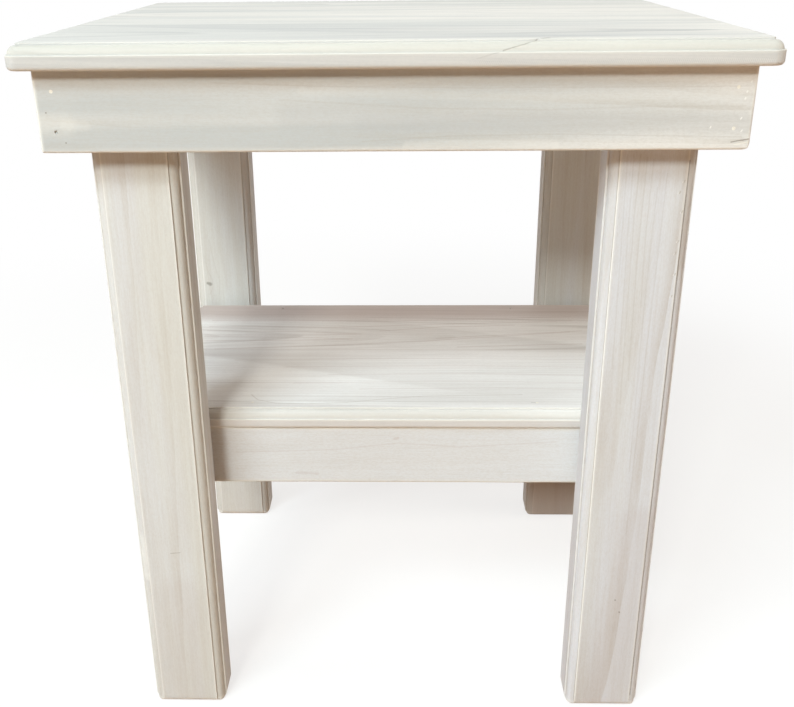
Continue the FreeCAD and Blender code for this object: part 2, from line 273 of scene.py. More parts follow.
def panel_rings(low, high, seed):
    """Rings of a panel with the routed edge all round its upper face."""
    middle = (low + high) / 2
    half = (high - low) / 2
    thick = high.z - low.z
    profile = bead_profile()
    profile.append((0.0, thick - UNDERSIDE_ROUND - FACE_MARGIN / 2, 0.0, 0.0))
    for step in range(EASE_SEGMENTS + 1):
        angle = math.radians(90 * step / EASE_SEGMENTS)
        inward = UNDERSIDE_ROUND * (1 - math.cos(angle))
        down = thick - UNDERSIDE_ROUND * (1 - math.sin(angle))
        edge = UNDERSIDE_WEAR_AND_HIGHLIGHT * math.sin(2 * angle)
        profile.append((inward, down, edge, 0.0))
    profile.append((UNDERSIDE_ROUND + FACE_MARGIN, thick, 0.0, 0.0))
    rings = []
    for inward, down, edge, quirk in profile:
        ring = []
        for point in plan_ring(half.x, half.y, inward):
            place = Vector((middle.x + point.x, middle.y + point.y, high.z - down))
            ring.append((place, edge, quirk))
        rings.append(ring)
    for ring in rings[1:-1]:
        for place, edge, quirk in ring:
            stray = PANEL_STRAY * unevenness(place, PANEL_STRAY_REACH, seed)
            toward = Vector((middle.x - place.x, middle.y - place.y, 0)).normalized()
            place += toward * max(stray, 0)
    return rings


def slice_panel(name, rings, low_y, high_y):
    """One board of a panel, between two seams."""
    bm = skin(rings)
    for seam, normal in ((low_y, Vector((0, -1, 0))), (high_y, Vector((0, 1, 0)))):
        if seam is None:
            continue
        geometry = list(bm.verts) + list(bm.edges) + list(bm.faces)
        bmesh.ops.bisect_plane(
            bm, geom=geometry, dist=SAME, plane_co=(0, seam, 0), plane_no=normal, clear_outer=True
        )
        rim = [edge for edge in bm.edges if edge.is_boundary]
        bmesh.ops.holes_fill(bm, edges=rim, sides=0)
    bmesh.ops.recalc_face_normals(bm, faces=bm.faces)
    return to_object(name, bm)


def tuck(x, y, half_x, half_y, radius):
    """Pull a point inside a rounded rectangle."""
    core_x = half_x - radius
    core_y = half_y - radius
    past_x = abs(x) - core_x
    past_y = abs(y) - core_y
    if past_x > 0 and past_y > 0:
        reach = math.hypot(past_x, past_y)
        share = min(1.0, radius / reach)
        return math.copysign(core_x + past_x * share, x), math.copysign(core_y + past_y * share, y)
    return math.copysign(min(abs(x), half_x), x), math.copysign(min(abs(y), half_y), y)


def leg_outline(half_x, half_y):
    """Section of a leg with a bead on each corner, seen from above."""
    outline = []
    for side_x, side_y, first in CORNERS:
        for inward, down, edge, quirk in bead_profile():
            in_x, in_y = (inward, down) if first in CROSSWISE else (down, inward)
            outline.append((side_x * (half_x - in_x), side_y * (half_y - in_y), edge, quirk))
    return outline


# A knock on a corner of a leg
Dent = namedtuple("Dent", "side_x side_y height length depth")


def leg_stations(low, high, dents):
    """Heights of a leg's rings, how far each is drawn in, and how worn its edge is."""
    stations = [(low, FOOT_ROUND + FACE_MARGIN, 0.0)]
    for step in range(EASE_SEGMENTS + 3):
        angle = math.radians(90 * step / (EASE_SEGMENTS + 2))
        inset = FOOT_ROUND * (1 - math.sin(angle))
        height = low + FOOT_ROUND * (1 - math.cos(angle))
        stations.append((height, inset, FOOT_WEAR_AND_HIGHLIGHT * math.sin(2 * angle)))
    first = low + FOOT_ROUND + FACE_MARGIN
    count = round((high - first) / STATION)
    heights = [first + (high - first) * step / count for step in range(count + 1)]
    for dent in dents:
        heights += [dent.height + dent.length * share for share in DENT_STEPS]
    stations += [(height, 0.0, 0.0) for height in sorted(heights)]
    return stations


def leg_rings(low, high, dents, seed):
    """Rings of a leg from the foot up, with its dents."""
    middle = (low + high) / 2
    half = (high - low) / 2
    outline = leg_outline(half.x, half.y)
    rings = []
    for height, inset, worn in leg_stations(low.z, high.z, dents):
        ring = []
        for x, y, edge, quirk in outline:
            drawn = inset
            rim = max(edge, worn)
            on_bead = half.x - abs(x) < BEAD and half.y - abs(y) < BEAD
            for dent in dents:
                if on_bead and x * dent.side_x > 0 and y * dent.side_y > 0:
                    near = math.sqrt(max(0.0, 1 - abs(height - dent.height) / dent.length))
                    drawn = max(drawn, dent.depth * near)
                    rim = max(rim, DENT_WEAR_AND_HIGHLIGHT * near)
            px, py = x, y
            if drawn > 0:
                px, py = tuck(x, y, half.x - drawn, half.y - drawn, FOOT_CORNER + drawn / 2)
            bow = LEG_BOW * unevenness((px, py, height), LEG_BOW_REACH, seed)
            place = Vector((middle.x + px * (1 - max(bow, 0) / half.x), middle.y + py, height))
            ring.append((place, rim, quirk * (1 - worn)))
        rings.append(ring)
    return rings


def arris_wear_and_highlight(angle):
    """How worn an eased arris is, and how strongly it takes the painted highlight, along its quarter turn.
    """
    return LEAST_ARRIS_WEAR_AND_HIGHLIGHT + (1 - LEAST_ARRIS_WEAR_AND_HIGHLIGHT) * math.sin(2 * angle)


def board_section(half_u, half_v, radius, inset):
    """Rounded rectangle with holding points on its flats: (u, v, edge)."""
    points = []
    arc = max(radius - inset, LEAST_ARC)
    wide = half_u - inset
    tall = half_v - inset
    hold_u = min(max(half_u - radius - FACE_MARGIN, 0.0), wide - arc)
    hold_v = min(max(half_v - radius - FACE_MARGIN, 0.0), tall - arc)
    for side_u, side_v, first in CORNERS:
        before = (side_u * wide, side_v * hold_v, 0.0)
        after = (side_u * hold_u, side_v * tall, 0.0)
        if first in CROSSWISE:
            before, after = after, before
        corner = [before]
        for step in range(EASE_SEGMENTS + 1):
            angle = math.radians(90 * step / EASE_SEGMENTS)
            turn = math.radians(first) + angle
            u = side_u * (wide - arc) + arc * math.cos(turn)
            v = side_v * (tall - arc) + arc * math.sin(turn)
            corner.append((u, v, arris_wear_and_highlight(angle)))
        corner.append(after)
        points += corner
    return points


def board_stations(low, high, radius):
    """Places of a board's rings along it: (place, drawn in, edge)."""
    start = [(low, radius + FACE_MARGIN, 0.0)]
    for step in range(EASE_SEGMENTS + 1):
        angle = math.radians(90 * step / EASE_SEGMENTS)
        inset = radius * (1 - math.sin(angle))
        start.append((low + radius * (1 - math.cos(angle)), inset, arris_wear_and_highlight(angle)))
    for margin in (1, 2, 4):
        start.append((low + radius + margin * FACE_MARGIN / 2, 0.0, 0.0))
    end = [(low + high - place, inset, edge) for place, inset, edge in reversed(start)]
    first = start[-1][0]
    last = end[0][0]
    count = max(2, round((last - first) / STATION))
    body = [(first + (last - first) * step / count, 0.0, 0.0) for step in range(1, count)]
    return start + body + end


def board_rings(low, high, along, seed):
    """Rings of a plain board with hand-eased arrises."""
    u, v = [axis for axis in (X, Y, Z) if axis != along]
    middle = (low + high) / 2
    half = (high - low) / 2
    rings = []
    for station, inset, end_edge in board_stations(low[along], high[along], EASE):
        radius = EASE * (1 + EASE_SWAY * unevenness((station, 0, 0), EASE_SWAY_REACH, seed))
        drawn = min(inset, radius + FACE_MARGIN)
        ring = []
        for point_u, point_v, edge in board_section(half[u], half[v], radius, drawn):
            place = Vector((0, 0, 0))
            place[along] = station
            place[u] = middle[u] + point_u
            place[v] = middle[v] + point_v
            worn = max(edge, end_edge) if inset < EASE + SAME else 0.0
            ring.append((place, worn, 0.0))
        rings.append(ring)
    return rings


def knock_corner(rings, corner, inward, radius):
    """Round a corner of a board, as seen from the front: corner and inward are (x, z)."""
    for ring in rings:
        for place, edge, quirk in ring:
            deep_x = (place.x - corner[0]) * inward[0]
            deep_z = (place.z - corner[1]) * inward[1]
            if deep_x < radius and deep_z < radius:
                reach = math.hypot(radius - deep_x, radius - deep_z)
                if reach > radius:
                    share = radius / reach
                    place.x = corner[0] + inward[0] * (radius - (radius - deep_x) * share)
                    place.z = corner[1] + inward[1] * (radius - (radius - deep_z) * share)


# Fasteners, placed by the solids of their CAD nodes

Spot = namedtuple("Spot", "head aim length radius")


def solids_of(node):
    """Separate solids of a CAD node, each as a list of its points."""
    bm = bmesh.new()
    bm.from_mesh(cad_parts[node].data)
    bmesh.ops.remove_doubles(bm, verts=bm.verts, dist=SAME / 10)
    solids = []
    for vert in bm.verts:
        if vert.tag:
            continue
        vert.tag = True
        reached = [vert]
        for at in reached:
            for edge in at.link_edges:
                other = edge.other_vert(at)
                if not other.tag:
                    other.tag = True
                    reached.append(other)
        solids.append([at.co.copy() for at in reached])
    bm.free()
    return solids


def fastener_spots(node):
    """Head, direction, length and head radius of each fastener in a CAD node."""
    spots = []
    for points in solids_of(node):
        low = Vector(min(p[axis] for p in points) for axis in range(3))
        high = Vector(max(p[axis] for p in points) for axis in range(3))
        size = high - low
        along = max(range(3), key=lambda axis: size[axis])
        middle = (low + high) / 2
        wide = {}
        for end in (low[along], high[along]):
            near = [p for p in points if abs(p[along] - end) < BRAD_HEAD_HEIGHT / 2]
            offsets = [p - middle for p in near]
            for offset in offsets:
                offset[along] = 0
            wide[end] = max(offset.length for offset in offsets)
        head_end = max(wide, key=wide.get)
        head = middle.copy()
        head[along] = head_end
        aim = Vector((0, 0, 0))
        aim[along] = 1.0 if head_end == low[along] else -1.0
        spots.append(Spot(head, aim, size[along], wide[head_end]))
    return spots


def set_below(spots):
    """Mouths of the holes over sunk brads."""
    return [spot._replace(head=spot.head - spot.aim * BRAD_SET) for spot in spots]


def drill(piece, spots, depth, countersunk=False):
    """Bore fastener holes into a piece, open at the head end."""
    bm = bmesh.new()
    for spot in spots:
        turn = Vector((0, 0, 1)).rotation_difference(spot.aim).to_matrix().to_4x4()
        shift = Matrix.Translation(spot.head + spot.aim * (depth - ARRIS) / 2)
        mouth = spot.radius + HOLE_ROOM
        bottom = SCREW_CREST_RADIUS + HOLE_ROOM if countersunk else mouth
        bmesh.ops.create_cone(
            bm, cap_ends=True, segments=HOLE_SIDES, radius1=mouth, radius2=bottom,
            depth=depth + ARRIS, matrix=shift @ turn
        )
    carve(piece, to_object("drill", bm))


# Node trees

class Bench:
    """Adds nodes to one tree; what is given to a socket is a link or a plain value."""

    def __init__(self, tree):
        self.tree = tree

    def feed(self, socket, value):
        """Link a socket, or set its value."""
        if isinstance(value, bpy.types.NodeSocket):
            self.tree.links.new(value, socket)
        else:
            socket.default_value = value

    def add(self, kind, inputs=(), **settings):
        """New node with its settings and inputs."""
        node = self.tree.nodes.new(kind)
        for name, value in settings.items():
            setattr(node, name, value)
        for key, value in dict(inputs).items():
            self.feed(node.inputs[key], value)
        return node

    def math(self, operation, *values, clamp=False):
        """Result of a math node."""
        node = self.add("ShaderNodeMath", enumerate(values), operation=operation, use_clamp=clamp)
        return node.outputs[0]

    def vector(self, operation, *values):
        """Result of a vector math node."""
        node = self.add("ShaderNodeVectorMath", enumerate(values), operation=operation)
        single = operation in ("LENGTH", "DOT_PRODUCT")
        return node.outputs["Value" if single else "Vector"]

    def stretch(self, vector, along, across):
        """A vector with its own scale along the first axis and across it."""
        return self.vector("MULTIPLY", vector, (along, across, across))

    def scaled(self, vector, value, share):
        """A vector plus a share of another vector."""
        node = self.add("ShaderNodeVectorMath", {0: value, "Scale": share}, operation="SCALE")
        return self.vector("ADD", vector, node.outputs["Vector"])

    def ease(self, value, low, high):
        """Smooth step from 0 at one value to 1 at another."""
        inputs = {"Value": value, "From Min": low, "From Max": high, "To Min": 0.0, "To Max": 1.0}
        return self.add("ShaderNodeMapRange", inputs, interpolation_type="SMOOTHSTEP").outputs["Result"]

    def noise(self, vector, detail=2.0, rough=0.5, output="Fac"):
        """Noise at a place that already has its scale."""
        inputs = {"Vector": vector, "Scale": 1.0, "Detail": detail, "Roughness": rough}
        return self.add("ShaderNodeTexNoise", inputs).outputs[output]

    def mix(self, share, first, second, mode="MIX"):
        """A share of one colour over another."""
        node = self.add("ShaderNodeMix", data_type="RGBA", blend_type=mode)
        for key, value in ((0, share), (6, first), (7, second)):
            self.feed(node.inputs[key], value)
        return node.outputs[2]


def new_group(name, inputs, outputs, kind="ShaderNodeTree"):
    """Node group with named sockets: its bench, what it is given and what it puts out."""
    tree = bpy.data.node_groups.new(name, kind)
    for label, (socket_type, value) in inputs.items():
        socket = tree.interface.new_socket(label, in_out="INPUT", socket_type="NodeSocket" + socket_type)
        if value is not None:
            socket.default_value = value
    for label, socket_type in outputs.items():
        tree.interface.new_socket(label, in_out="OUTPUT", socket_type="NodeSocket" + socket_type)
    bench = Bench(tree)
    given = bench.add("NodeGroupInput").outputs
    result = bench.add("NodeGroupOutput").inputs
    return bench, given, result


FIGURE_PARTS = ("Ring", "Fibre", "Pore", "Speckle", "Cloud", "Tone")
HALF = (0.5, 0.5, 0.5)


def wood_figure_group():
    """Growth rings, fibres, pores, speckle, clouds and tone of a board, from its place in the log."""
    bench, given, result = new_group(
        "Wood figure",
        {"Log": ("Vector", None), "Ring Width": ("Float", 0.005), "Waver": ("Float", 0.006)},
        {part: "Float" for part in FIGURE_PARTS},
    )
    log = given["Log"]
    drift = bench.noise(bench.stretch(log, 2.2, 9.0), 3.0, 0.55, "Color")
    centred = bench.vector("SUBTRACT", drift, HALF)
    wavy = bench.scaled(log, centred, given["Waver"])
    across = bench.stretch(wavy, 0.0, 1.0)
    rings = bench.math("DIVIDE", bench.vector("LENGTH", across), given["Ring Width"])
    part = bench.math("FRACT", rings)
    number = bench.math("FLOOR", rings)
    late = bench.math("MULTIPLY", bench.ease(part, 0.25, 0.93), bench.ease(part, 1.0, 0.95))
    own = bench.add("ShaderNodeTexWhiteNoise", {"W": number}, noise_dimensions="1D").outputs["Value"]
    fading = bench.noise(bench.stretch(log, 5.0, 40.0), 2.0)
    strength = bench.math("MULTIPLY", bench.math("POWER", own, 1.6), bench.ease(fading, 0.32, 0.62))
    bench.feed(result["Ring"], bench.math("MULTIPLY", late, strength))
    coarse = bench.noise(bench.stretch(log, 9.0, 420.0), 4.0, 0.62)
    fine = bench.noise(bench.stretch(log, 60.0, 1900.0), 2.0)
    fibre = bench.math("ADD", bench.math("MULTIPLY", coarse, 0.65), bench.math("MULTIPLY", fine, 0.35))
    bench.feed(result["Fibre"], bench.ease(fibre, 0.36, 0.66))
    dash = bench.noise(bench.stretch(log, 150.0, 2600.0), 1.0)
    bench.feed(result["Pore"], bench.ease(dash, 0.66, 0.78))
    speckle = bench.noise(bench.stretch(log, 350.0, 800.0), 3.0, 0.7)
    bench.feed(result["Speckle"], bench.ease(speckle, 0.38, 0.66))
    cloud = bench.noise(bench.stretch(log, 7.0, 60.0), 3.0)
    bench.feed(result["Cloud"], bench.ease(cloud, 0.3, 0.7))
    tone = bench.noise(bench.stretch(log, 1.6, 30.0), 2.0)
    bench.feed(result["Tone"], bench.ease(tone, 0.35, 0.65))
    return bench.tree


# How the wash shows tone, pores and the paler rims of wear and painted highlight, and how dull it dries
RING_LEAST = 0.6
RING_BY_TINT = 0.8
PORE_SHOW = 0.10
TONE_SPREAD = 0.7
RIM_SHOW = 0.75
WASH_ROUGHNESS = 0.48
BARE_ROUGHNESS = 0.25
RIM_POLISH = -0.06
FIBRE_HEIGHT = 0.5
RING_HEIGHT = 0.4


def whitewash_group():
    """Thin white wash over wood.

    It is paler on the arrises, partly from wear and partly as painted highlight; upright faces lean to the
    wood colour as painted shade; late rings show more wood; the quirks take the wood colour, partly as bare
    wood and partly as painted shade.
    """
    bench, given, result = new_group(
        "Whitewash",
        {
            **{part: ("Float", 0.0) for part in FIGURE_PARTS},
            "Tint": ("Float", 0.5),
            "Edge": ("Float", 0.0),
            "Quirk": ("Float", 0.0),
            "Side": ("Float", 0.0),
            "Wash": ("Color", (0.8, 0.78, 0.72, 1)),
            "Second Wash": ("Color", (0.8, 0.76, 0.72, 1)),
            "Wood": ("Color", (0.5, 0.4, 0.3, 1)),
            "Rim": ("Color", (0.88, 0.86, 0.8, 1)),
            "Ring Show": ("Float", 0.4),
            "Fibre Show": ("Float", 0.2),
            "Cloud Show": ("Float", 0.1),
            "Speckle Show": ("Float", 0.1),
            "Quirk Show": ("Float", 0.6),
            "Side Show": ("Float", 0.0),
        },
        {"Color": "Color", "Roughness": "Float", "Height": "Float"},
    )
    by_tint = bench.math("MULTIPLY_ADD", given["Tint"], RING_BY_TINT, RING_LEAST)
    ring_show = bench.math("MULTIPLY", given["Ring Show"], by_tint)
    ring = bench.math("MULTIPLY", given["Ring"], ring_show)
    fibre = bench.math("MULTIPLY", given["Fibre"], given["Fibre Show"])
    cloud = bench.math("MULTIPLY", given["Cloud"], given["Cloud Show"])
    speckle = bench.math("MULTIPLY", given["Speckle"], given["Speckle Show"])
    dots = bench.math("MULTIPLY_ADD", given["Pore"], PORE_SHOW, speckle)
    bare = bench.math("ADD", bench.math("ADD", ring, fibre), bench.math("ADD", cloud, dots), clamp=True)
    swing = bench.math("SUBTRACT", given["Tone"], 0.5)
    tone = bench.math("MULTIPLY_ADD", swing, TONE_SPREAD, given["Tint"])
    wash = bench.mix(tone, given["Wash"], given["Second Wash"])
    # Upright faces lean to the wood colour: painted shade on the upright parts of the routed edges
    wash = bench.mix(bench.math("MULTIPLY", given["Side"], given["Side Show"]), wash, given["Wood"])
    colour = bench.mix(bare, wash, given["Wood"])
    # Paler rim colour on arrises and worn edges: partly wear, partly painted highlight
    colour = bench.mix(bench.math("MULTIPLY", given["Edge"], RIM_SHOW), colour, given["Rim"])
    # The quirks take the wood colour: partly bare wood, partly painted shade in the crease
    hollow = bench.math("MULTIPLY", given["Quirk"], given["Quirk Show"])
    bench.feed(result["Color"], bench.mix(hollow, colour, given["Wood"]))
    rough = bench.math("MULTIPLY_ADD", bare, BARE_ROUGHNESS, WASH_ROUGHNESS)
    bench.feed(result["Roughness"], bench.math("MULTIPLY_ADD", given["Edge"], RIM_POLISH, rough))
    low = bench.math("ADD", bench.math("MULTIPLY", given["Fibre"], FIBRE_HEIGHT), given["Pore"])
    sunk = bench.math("MULTIPLY", low, -1.0)
    bench.feed(result["Height"], bench.math("MULTIPLY_ADD", given["Ring"], RING_HEIGHT, sunk))
    return bench.tree


def stroke_group():
    """Mark along a short line: a crack, a streak, a painted shadow or highlight, or, with both ends
    together, a knot.
    """
    bench, given, result = new_group(
        "Stroke",
        {
            "Place": ("Vector", None),
            "From": ("Vector", (0, 0, 0)),
            "To": ("Vector", (0, 0, 0)),
            "Width": ("Float", 0.001),
            "Ragged": ("Float", 0.001),
        },
        {"Mask": "Float"},
    )
    jitter = bench.noise(bench.stretch(given["Place"], 500.0, 500.0), 2.0, 0.6, "Color")
    centred = bench.vector("SUBTRACT", jitter, HALF)
    place = bench.scaled(given["Place"], centred, given["Ragged"])
    line = bench.vector("SUBTRACT", given["To"], given["From"])
    reach = bench.vector("SUBTRACT", place, given["From"])
    square = bench.math("MAXIMUM", bench.vector("DOT_PRODUCT", line, line), 1e-9)
    share = bench.math("DIVIDE", bench.vector("DOT_PRODUCT", reach, line), square, clamp=True)
    foot = bench.scaled((0.0, 0.0, 0.0), line, share)
    away = bench.vector("LENGTH", bench.vector("SUBTRACT", reach, foot))
    inner = bench.math("MULTIPLY", given["Width"], 0.35)
    bench.feed(result["Mask"], bench.ease(away, given["Width"], inner))
    return bench.tree


CHATTER_SLANT = 0.6
CHATTER_SHOW = 0.22


def chatter_group():
    """Slanted marks of a router bit along the lower half of a moulded edge."""
    bench, given, result = new_group(
        "Router chatter",
        {
            "Place": ("Vector", None),
            "Pitch": ("Float", 0.0013),
            "Low": ("Float", 0.0),
            "High": ("Float", 1.0),
        },
        {"Mask": "Float"},
    )
    parts = bench.add("ShaderNodeSeparateXYZ", {0: given["Place"]}).outputs
    slant = bench.math("MULTIPLY", parts["Z"], CHATTER_SLANT)
    run = bench.math("ADD", parts["X"], bench.math("ADD", parts["Y"], slant))
    wave = bench.math("SINE", bench.math("DIVIDE", run, bench.math("DIVIDE", given["Pitch"], math.tau)))
    middle = bench.math("MULTIPLY", bench.math("ADD", given["Low"], given["High"]), 0.5)
    inside = bench.math("MULTIPLY", bench.ease(parts["Z"], given["Low"], middle),
                        bench.ease(parts["Z"], given["High"], middle))
    patchy = bench.noise(bench.vector("MULTIPLY", given["Place"], (12.0, 12.0, 0.0)), 1.0)
    shown = bench.math("MULTIPLY", inside, bench.ease(patchy, 0.45, 0.6))
    bench.feed(result["Mask"], bench.math("MULTIPLY", shown, bench.ease(wave, -0.2, 0.9)))
    return bench.tree


PLATE_ROUGHNESS = 0.28
DULL_ROUGHNESS = 0.2


def mottle_group():
    """Brighter and duller grains, as in zinc plate and in filler."""
    bench, given, result = new_group(
        "Mottle",
        {
            "Place": ("Vector", None),
            "Bright": ("Color", (0.6, 0.6, 0.6, 1)),
            "Dull": ("Color", (0.4, 0.4, 0.4, 1)),
        },
        {"Color": "Color", "Roughness": "Float"},
    )
    mottle = bench.noise(bench.stretch(given["Place"], 900.0, 900.0), 3.0, 0.6)
    share = bench.ease(mottle, 0.35, 0.65)
    bench.feed(result["Color"], bench.mix(share, given["Bright"], given["Dull"]))
    bench.feed(result["Roughness"], bench.math("MULTIPLY_ADD", share, DULL_ROUGHNESS, PLATE_ROUGHNESS))
    return bench.tree


WOOD_FIGURE = wood_figure_group()
WHITEWASH = whitewash_group()
STROKE = stroke_group()
CHATTER = chatter_group()
MOTTLE = mottle_group()


def new_material(name):
    """Material with an empty tree: its bench and the surface socket of its output."""
    material = bpy.data.materials.new(name)
    material.use_nodes = True
    material.node_tree.nodes.clear()
    bench = Bench(material.node_tree)
    surface = bench.add("ShaderNodeOutputMaterial").inputs["Surface"]
    return material, bench, surface


def grouped(bench, tree, inputs):
    """Place a node group in a tree."""
    node = bench.add("ShaderNodeGroup", node_tree=tree)
    for key, value in inputs.items():
        bench.feed(node.inputs[key], value)
    return node.outputs


def attribute(bench, name, output):
    """One of the piece's own attributes."""
    return bench.add("ShaderNodeAttribute", attribute_name=name).outputs[output]


def stroke_mask(bench, place, points, width, ragged):
    """Mask of a mark that follows a few points, given in millimetres."""
    mask = 0.0
    for start, end in zip(points, points[1:]):
        piece = grouped(bench, STROKE, {
            "Place": place,
            "From": [value * MM for value in start],
            "To": [value * MM for value in end],
            "Width": width * MM,
            "Ragged": ragged * MM,
        })["Mask"]
        mask = bench.math("MAXIMUM", mask, piece)
    return mask


WOOD_IOR = 1.45
WOOD_SHEEN = 0.35
GRAIN_BUMP = 0.25
GRAIN_DEPTH = 0.3 * MM
FILLER_ROUGHNESS = 0.7


def wood_material(name, look, strokes=(), chatter=None):
    """Whitewashed wood with its own tints, rings and marks, painted shade and highlight among them."""
    material, bench, surface = new_material(name)
    values = dict(look)
    figure = grouped(bench, WOOD_FIGURE, {
        "Log": attribute(bench, "log", "Vector"),
        "Ring Width": values.pop("Ring Width"),
        "Waver": values.pop("Waver"),
    })
    values.update({part: figure[part] for part in FIGURE_PARTS})
    for mark in ("Tint", "Edge", "Quirk", "Side"):
        values[mark] = attribute(bench, mark.lower(), "Fac")
    wash = grouped(bench, WHITEWASH, values)
    colour = wash["Color"]
    height = wash["Height"]
    place = bench.add("ShaderNodeTexCoord").outputs["Object"]
    for points, width, ragged, strength, tint in strokes:
        mask = stroke_mask(bench, place, points, width, ragged)
        colour = bench.mix(bench.math("MULTIPLY", mask, strength), colour, tint)
    if chatter:
        mask = grouped(bench, CHATTER, {"Place": place, **chatter})["Mask"]
        colour = bench.mix(bench.math("MULTIPLY", mask, CHATTER_SHOW), colour, look["Wood"])
        height = bench.math("SUBTRACT", height, mask)
    bump = bench.add("ShaderNodeBump", {"Strength": GRAIN_BUMP, "Distance": GRAIN_DEPTH, "Height": height})
    inputs = {
        "Base Color": colour,
        "Roughness": wash["Roughness"],
        "Normal": bump.outputs["Normal"],
        "IOR": WOOD_IOR,
        "Specular IOR Level": WOOD_SHEEN,
    }
    shader = bench.add("ShaderNodeBsdfPrincipled", inputs)
    bench.feed(surface, shader.outputs["BSDF"])
    return material


def filler_material(name, pale, dark):
    """Rubbed-down wood filler."""
    material, bench, surface = new_material(name)
    place = bench.add("ShaderNodeTexCoord").outputs["Object"]
    mottle = grouped(bench, MOTTLE, {"Place": place, "Bright": pale, "Dull": dark})
    inputs = {"Base Color": mottle["Color"], "Roughness": FILLER_ROUGHNESS}
    shader = bench.add("ShaderNodeBsdfPrincipled", inputs)
    bench.feed(surface, shader.outputs["BSDF"])
    return material


def steel_material(name, bright, dull):
    """Zinc-plated steel."""
    material, bench, surface = new_material(name)
    place = bench.add("ShaderNodeTexCoord").outputs["Object"]
    plate = grouped(bench, MOTTLE, {"Place": place, "Bright": bright, "Dull": dull})
    inputs = {"Base Color": plate["Color"], "Roughness": plate["Roughness"], "Metallic": 1.0}
    shader = bench.add("ShaderNodeBsdfPrincipled", inputs)
    bench.feed(surface, shader.outputs["BSDF"])
    return material


# Finishes: what each wood gives the groups

LOOKS = {
    "top_wood": {
        "Wash": (0.75, 0.745, 0.715, 1),
        # Paler second wash: partly tone, partly painted sheen towards the right of the top
        "Second Wash": (0.91, 0.875, 0.825, 1),
        "Wood": (0.38, 0.39, 0.40, 1),
        "Rim": (0.76, 0.75, 0.71, 1),
        "Ring Width": 0.0045,
        "Waver": 0.010,
        "Ring Show": 0.44,
        "Fibre Show": 0.15,
        "Cloud Show": 0.08,
        "Speckle Show": 0.08,
        "Quirk Show": 0.15,
        "Side Show": 0.45,
    },
    "apron_wood": {
        "Wash": (0.52, 0.545, 0.55, 1),
        "Second Wash": (0.83, 0.82, 0.80, 1),
        "Wood": (0.44, 0.40, 0.34, 1),
        "Rim": (0.85, 0.84, 0.80, 1),
        "Ring Width": 0.0050,
        "Waver": 0.010,
        "Ring Show": 0.30,
        "Fibre Show": 0.10,
        "Cloud Show": 0.06,
        "Speckle Show": 0.15,
        "Quirk Show": 0.3,
        "Side Show": 0.0,
    },
    "leg_wood": {
        "Wash": (0.67, 0.675, 0.65, 1),
        "Second Wash": (0.70, 0.725, 0.775, 1),
        "Wood": (0.44, 0.37, 0.30, 1),
        "Rim": (0.87, 0.87, 0.84, 1),
        "Ring Width": 0.0050,
        "Waver": 0.008,
        "Ring Show": 0.34,
        "Fibre Show": 0.15,
        "Cloud Show": 0.08,
        "Speckle Show": 0.10,
        "Quirk Show": 0.6,
        "Side Show": 0.0,
    },
    "shelf_wood": {
        "Wash": (0.96, 0.965, 0.965, 1),
        # Darker second wash: painted shade that the rear board mostly takes, with tone that varies at
        # random
        "Second Wash": (0.85, 0.83, 0.82, 1),
        "Wood": (0.40, 0.36, 0.33, 1),
        "Rim": (0.85, 0.83, 0.77, 1),
        "Ring Width": 0.0045,
        "Waver": 0.010,
        "Ring Show": 0.42,
        "Fibre Show": 0.16,
        "Cloud Show": 0.08,
        "Speckle Show": 0.07,
        "Quirk Show": 0.2,
        "Side Show": 0.44,
    },
    "rail_wood": {
        "Wash": (0.72, 0.74, 0.765, 1),
        "Second Wash": (0.725, 0.74, 0.76, 1),
        "Wood": (0.46, 0.39, 0.32, 1),
        "Rim": (0.86, 0.84, 0.77, 1),
        "Ring Width": 0.0055,
        "Waver": 0.012,
        "Ring Show": 0.30,
        "Fibre Show": 0.10,
        "Cloud Show": 0.06,
        "Speckle Show": 0.14,
        "Quirk Show": 0.3,
        "Side Show": 0.0,
    },
    "cleat_wood": {
        "Wash": (0.62, 0.47, 0.29, 1),
        "Second Wash": (0.58, 0.42, 0.25, 1),
        "Wood": (0.40, 0.24, 0.11, 1),
        "Rim": (0.66, 0.52, 0.34, 1),
        "Ring Width": 0.0030,
        "Waver": 0.004,
        "Ring Show": 0.70,
        "Fibre Show": 0.25,
        "Cloud Show": 0.15,
        "Speckle Show": 0.07,
        "Quirk Show": 0.3,
        "Side Show": 0.0,
    },
    "dowel_wood": {
        "Wash": (0.60, 0.43, 0.25, 1),
        "Second Wash": (0.56, 0.40, 0.23, 1),
        "Wood": (0.42, 0.27, 0.13, 1),
        "Rim": (0.60, 0.43, 0.25, 1),
        "Ring Width": 0.0020,
        "Waver": 0.001,
        "Ring Show": 0.30,
        "Fibre Show": 0.30,
        "Cloud Show": 0.10,
        "Speckle Show": 0.05,
        "Quirk Show": 0.3,
        "Side Show": 0.0,
    },
}


# Marks of the boards in millimetres, painted shade and highlight among them: places, width, raggedness,
# strength and tint

DARK = (0.16, 0.12, 0.09, 1)
LINE = (0.40, 0.36, 0.31, 1)
PALE = (0.90, 0.88, 0.82, 1)
KNOT = (0.24, 0.23, 0.20, 1)
MAUVE = (0.45, 0.36, 0.33, 1)
GREY = (0.42, 0.42, 0.42, 1)
# Near-white of flecks where the wash is chipped, and of a painted highlight along a bead
FLECK_AND_HIGHLIGHT = (0.92, 0.92, 0.90, 1)
# Cream tone of the painted shade along the beads, where their highlights are brightest
CREAM = (0.61, 0.57, 0.47, 1)

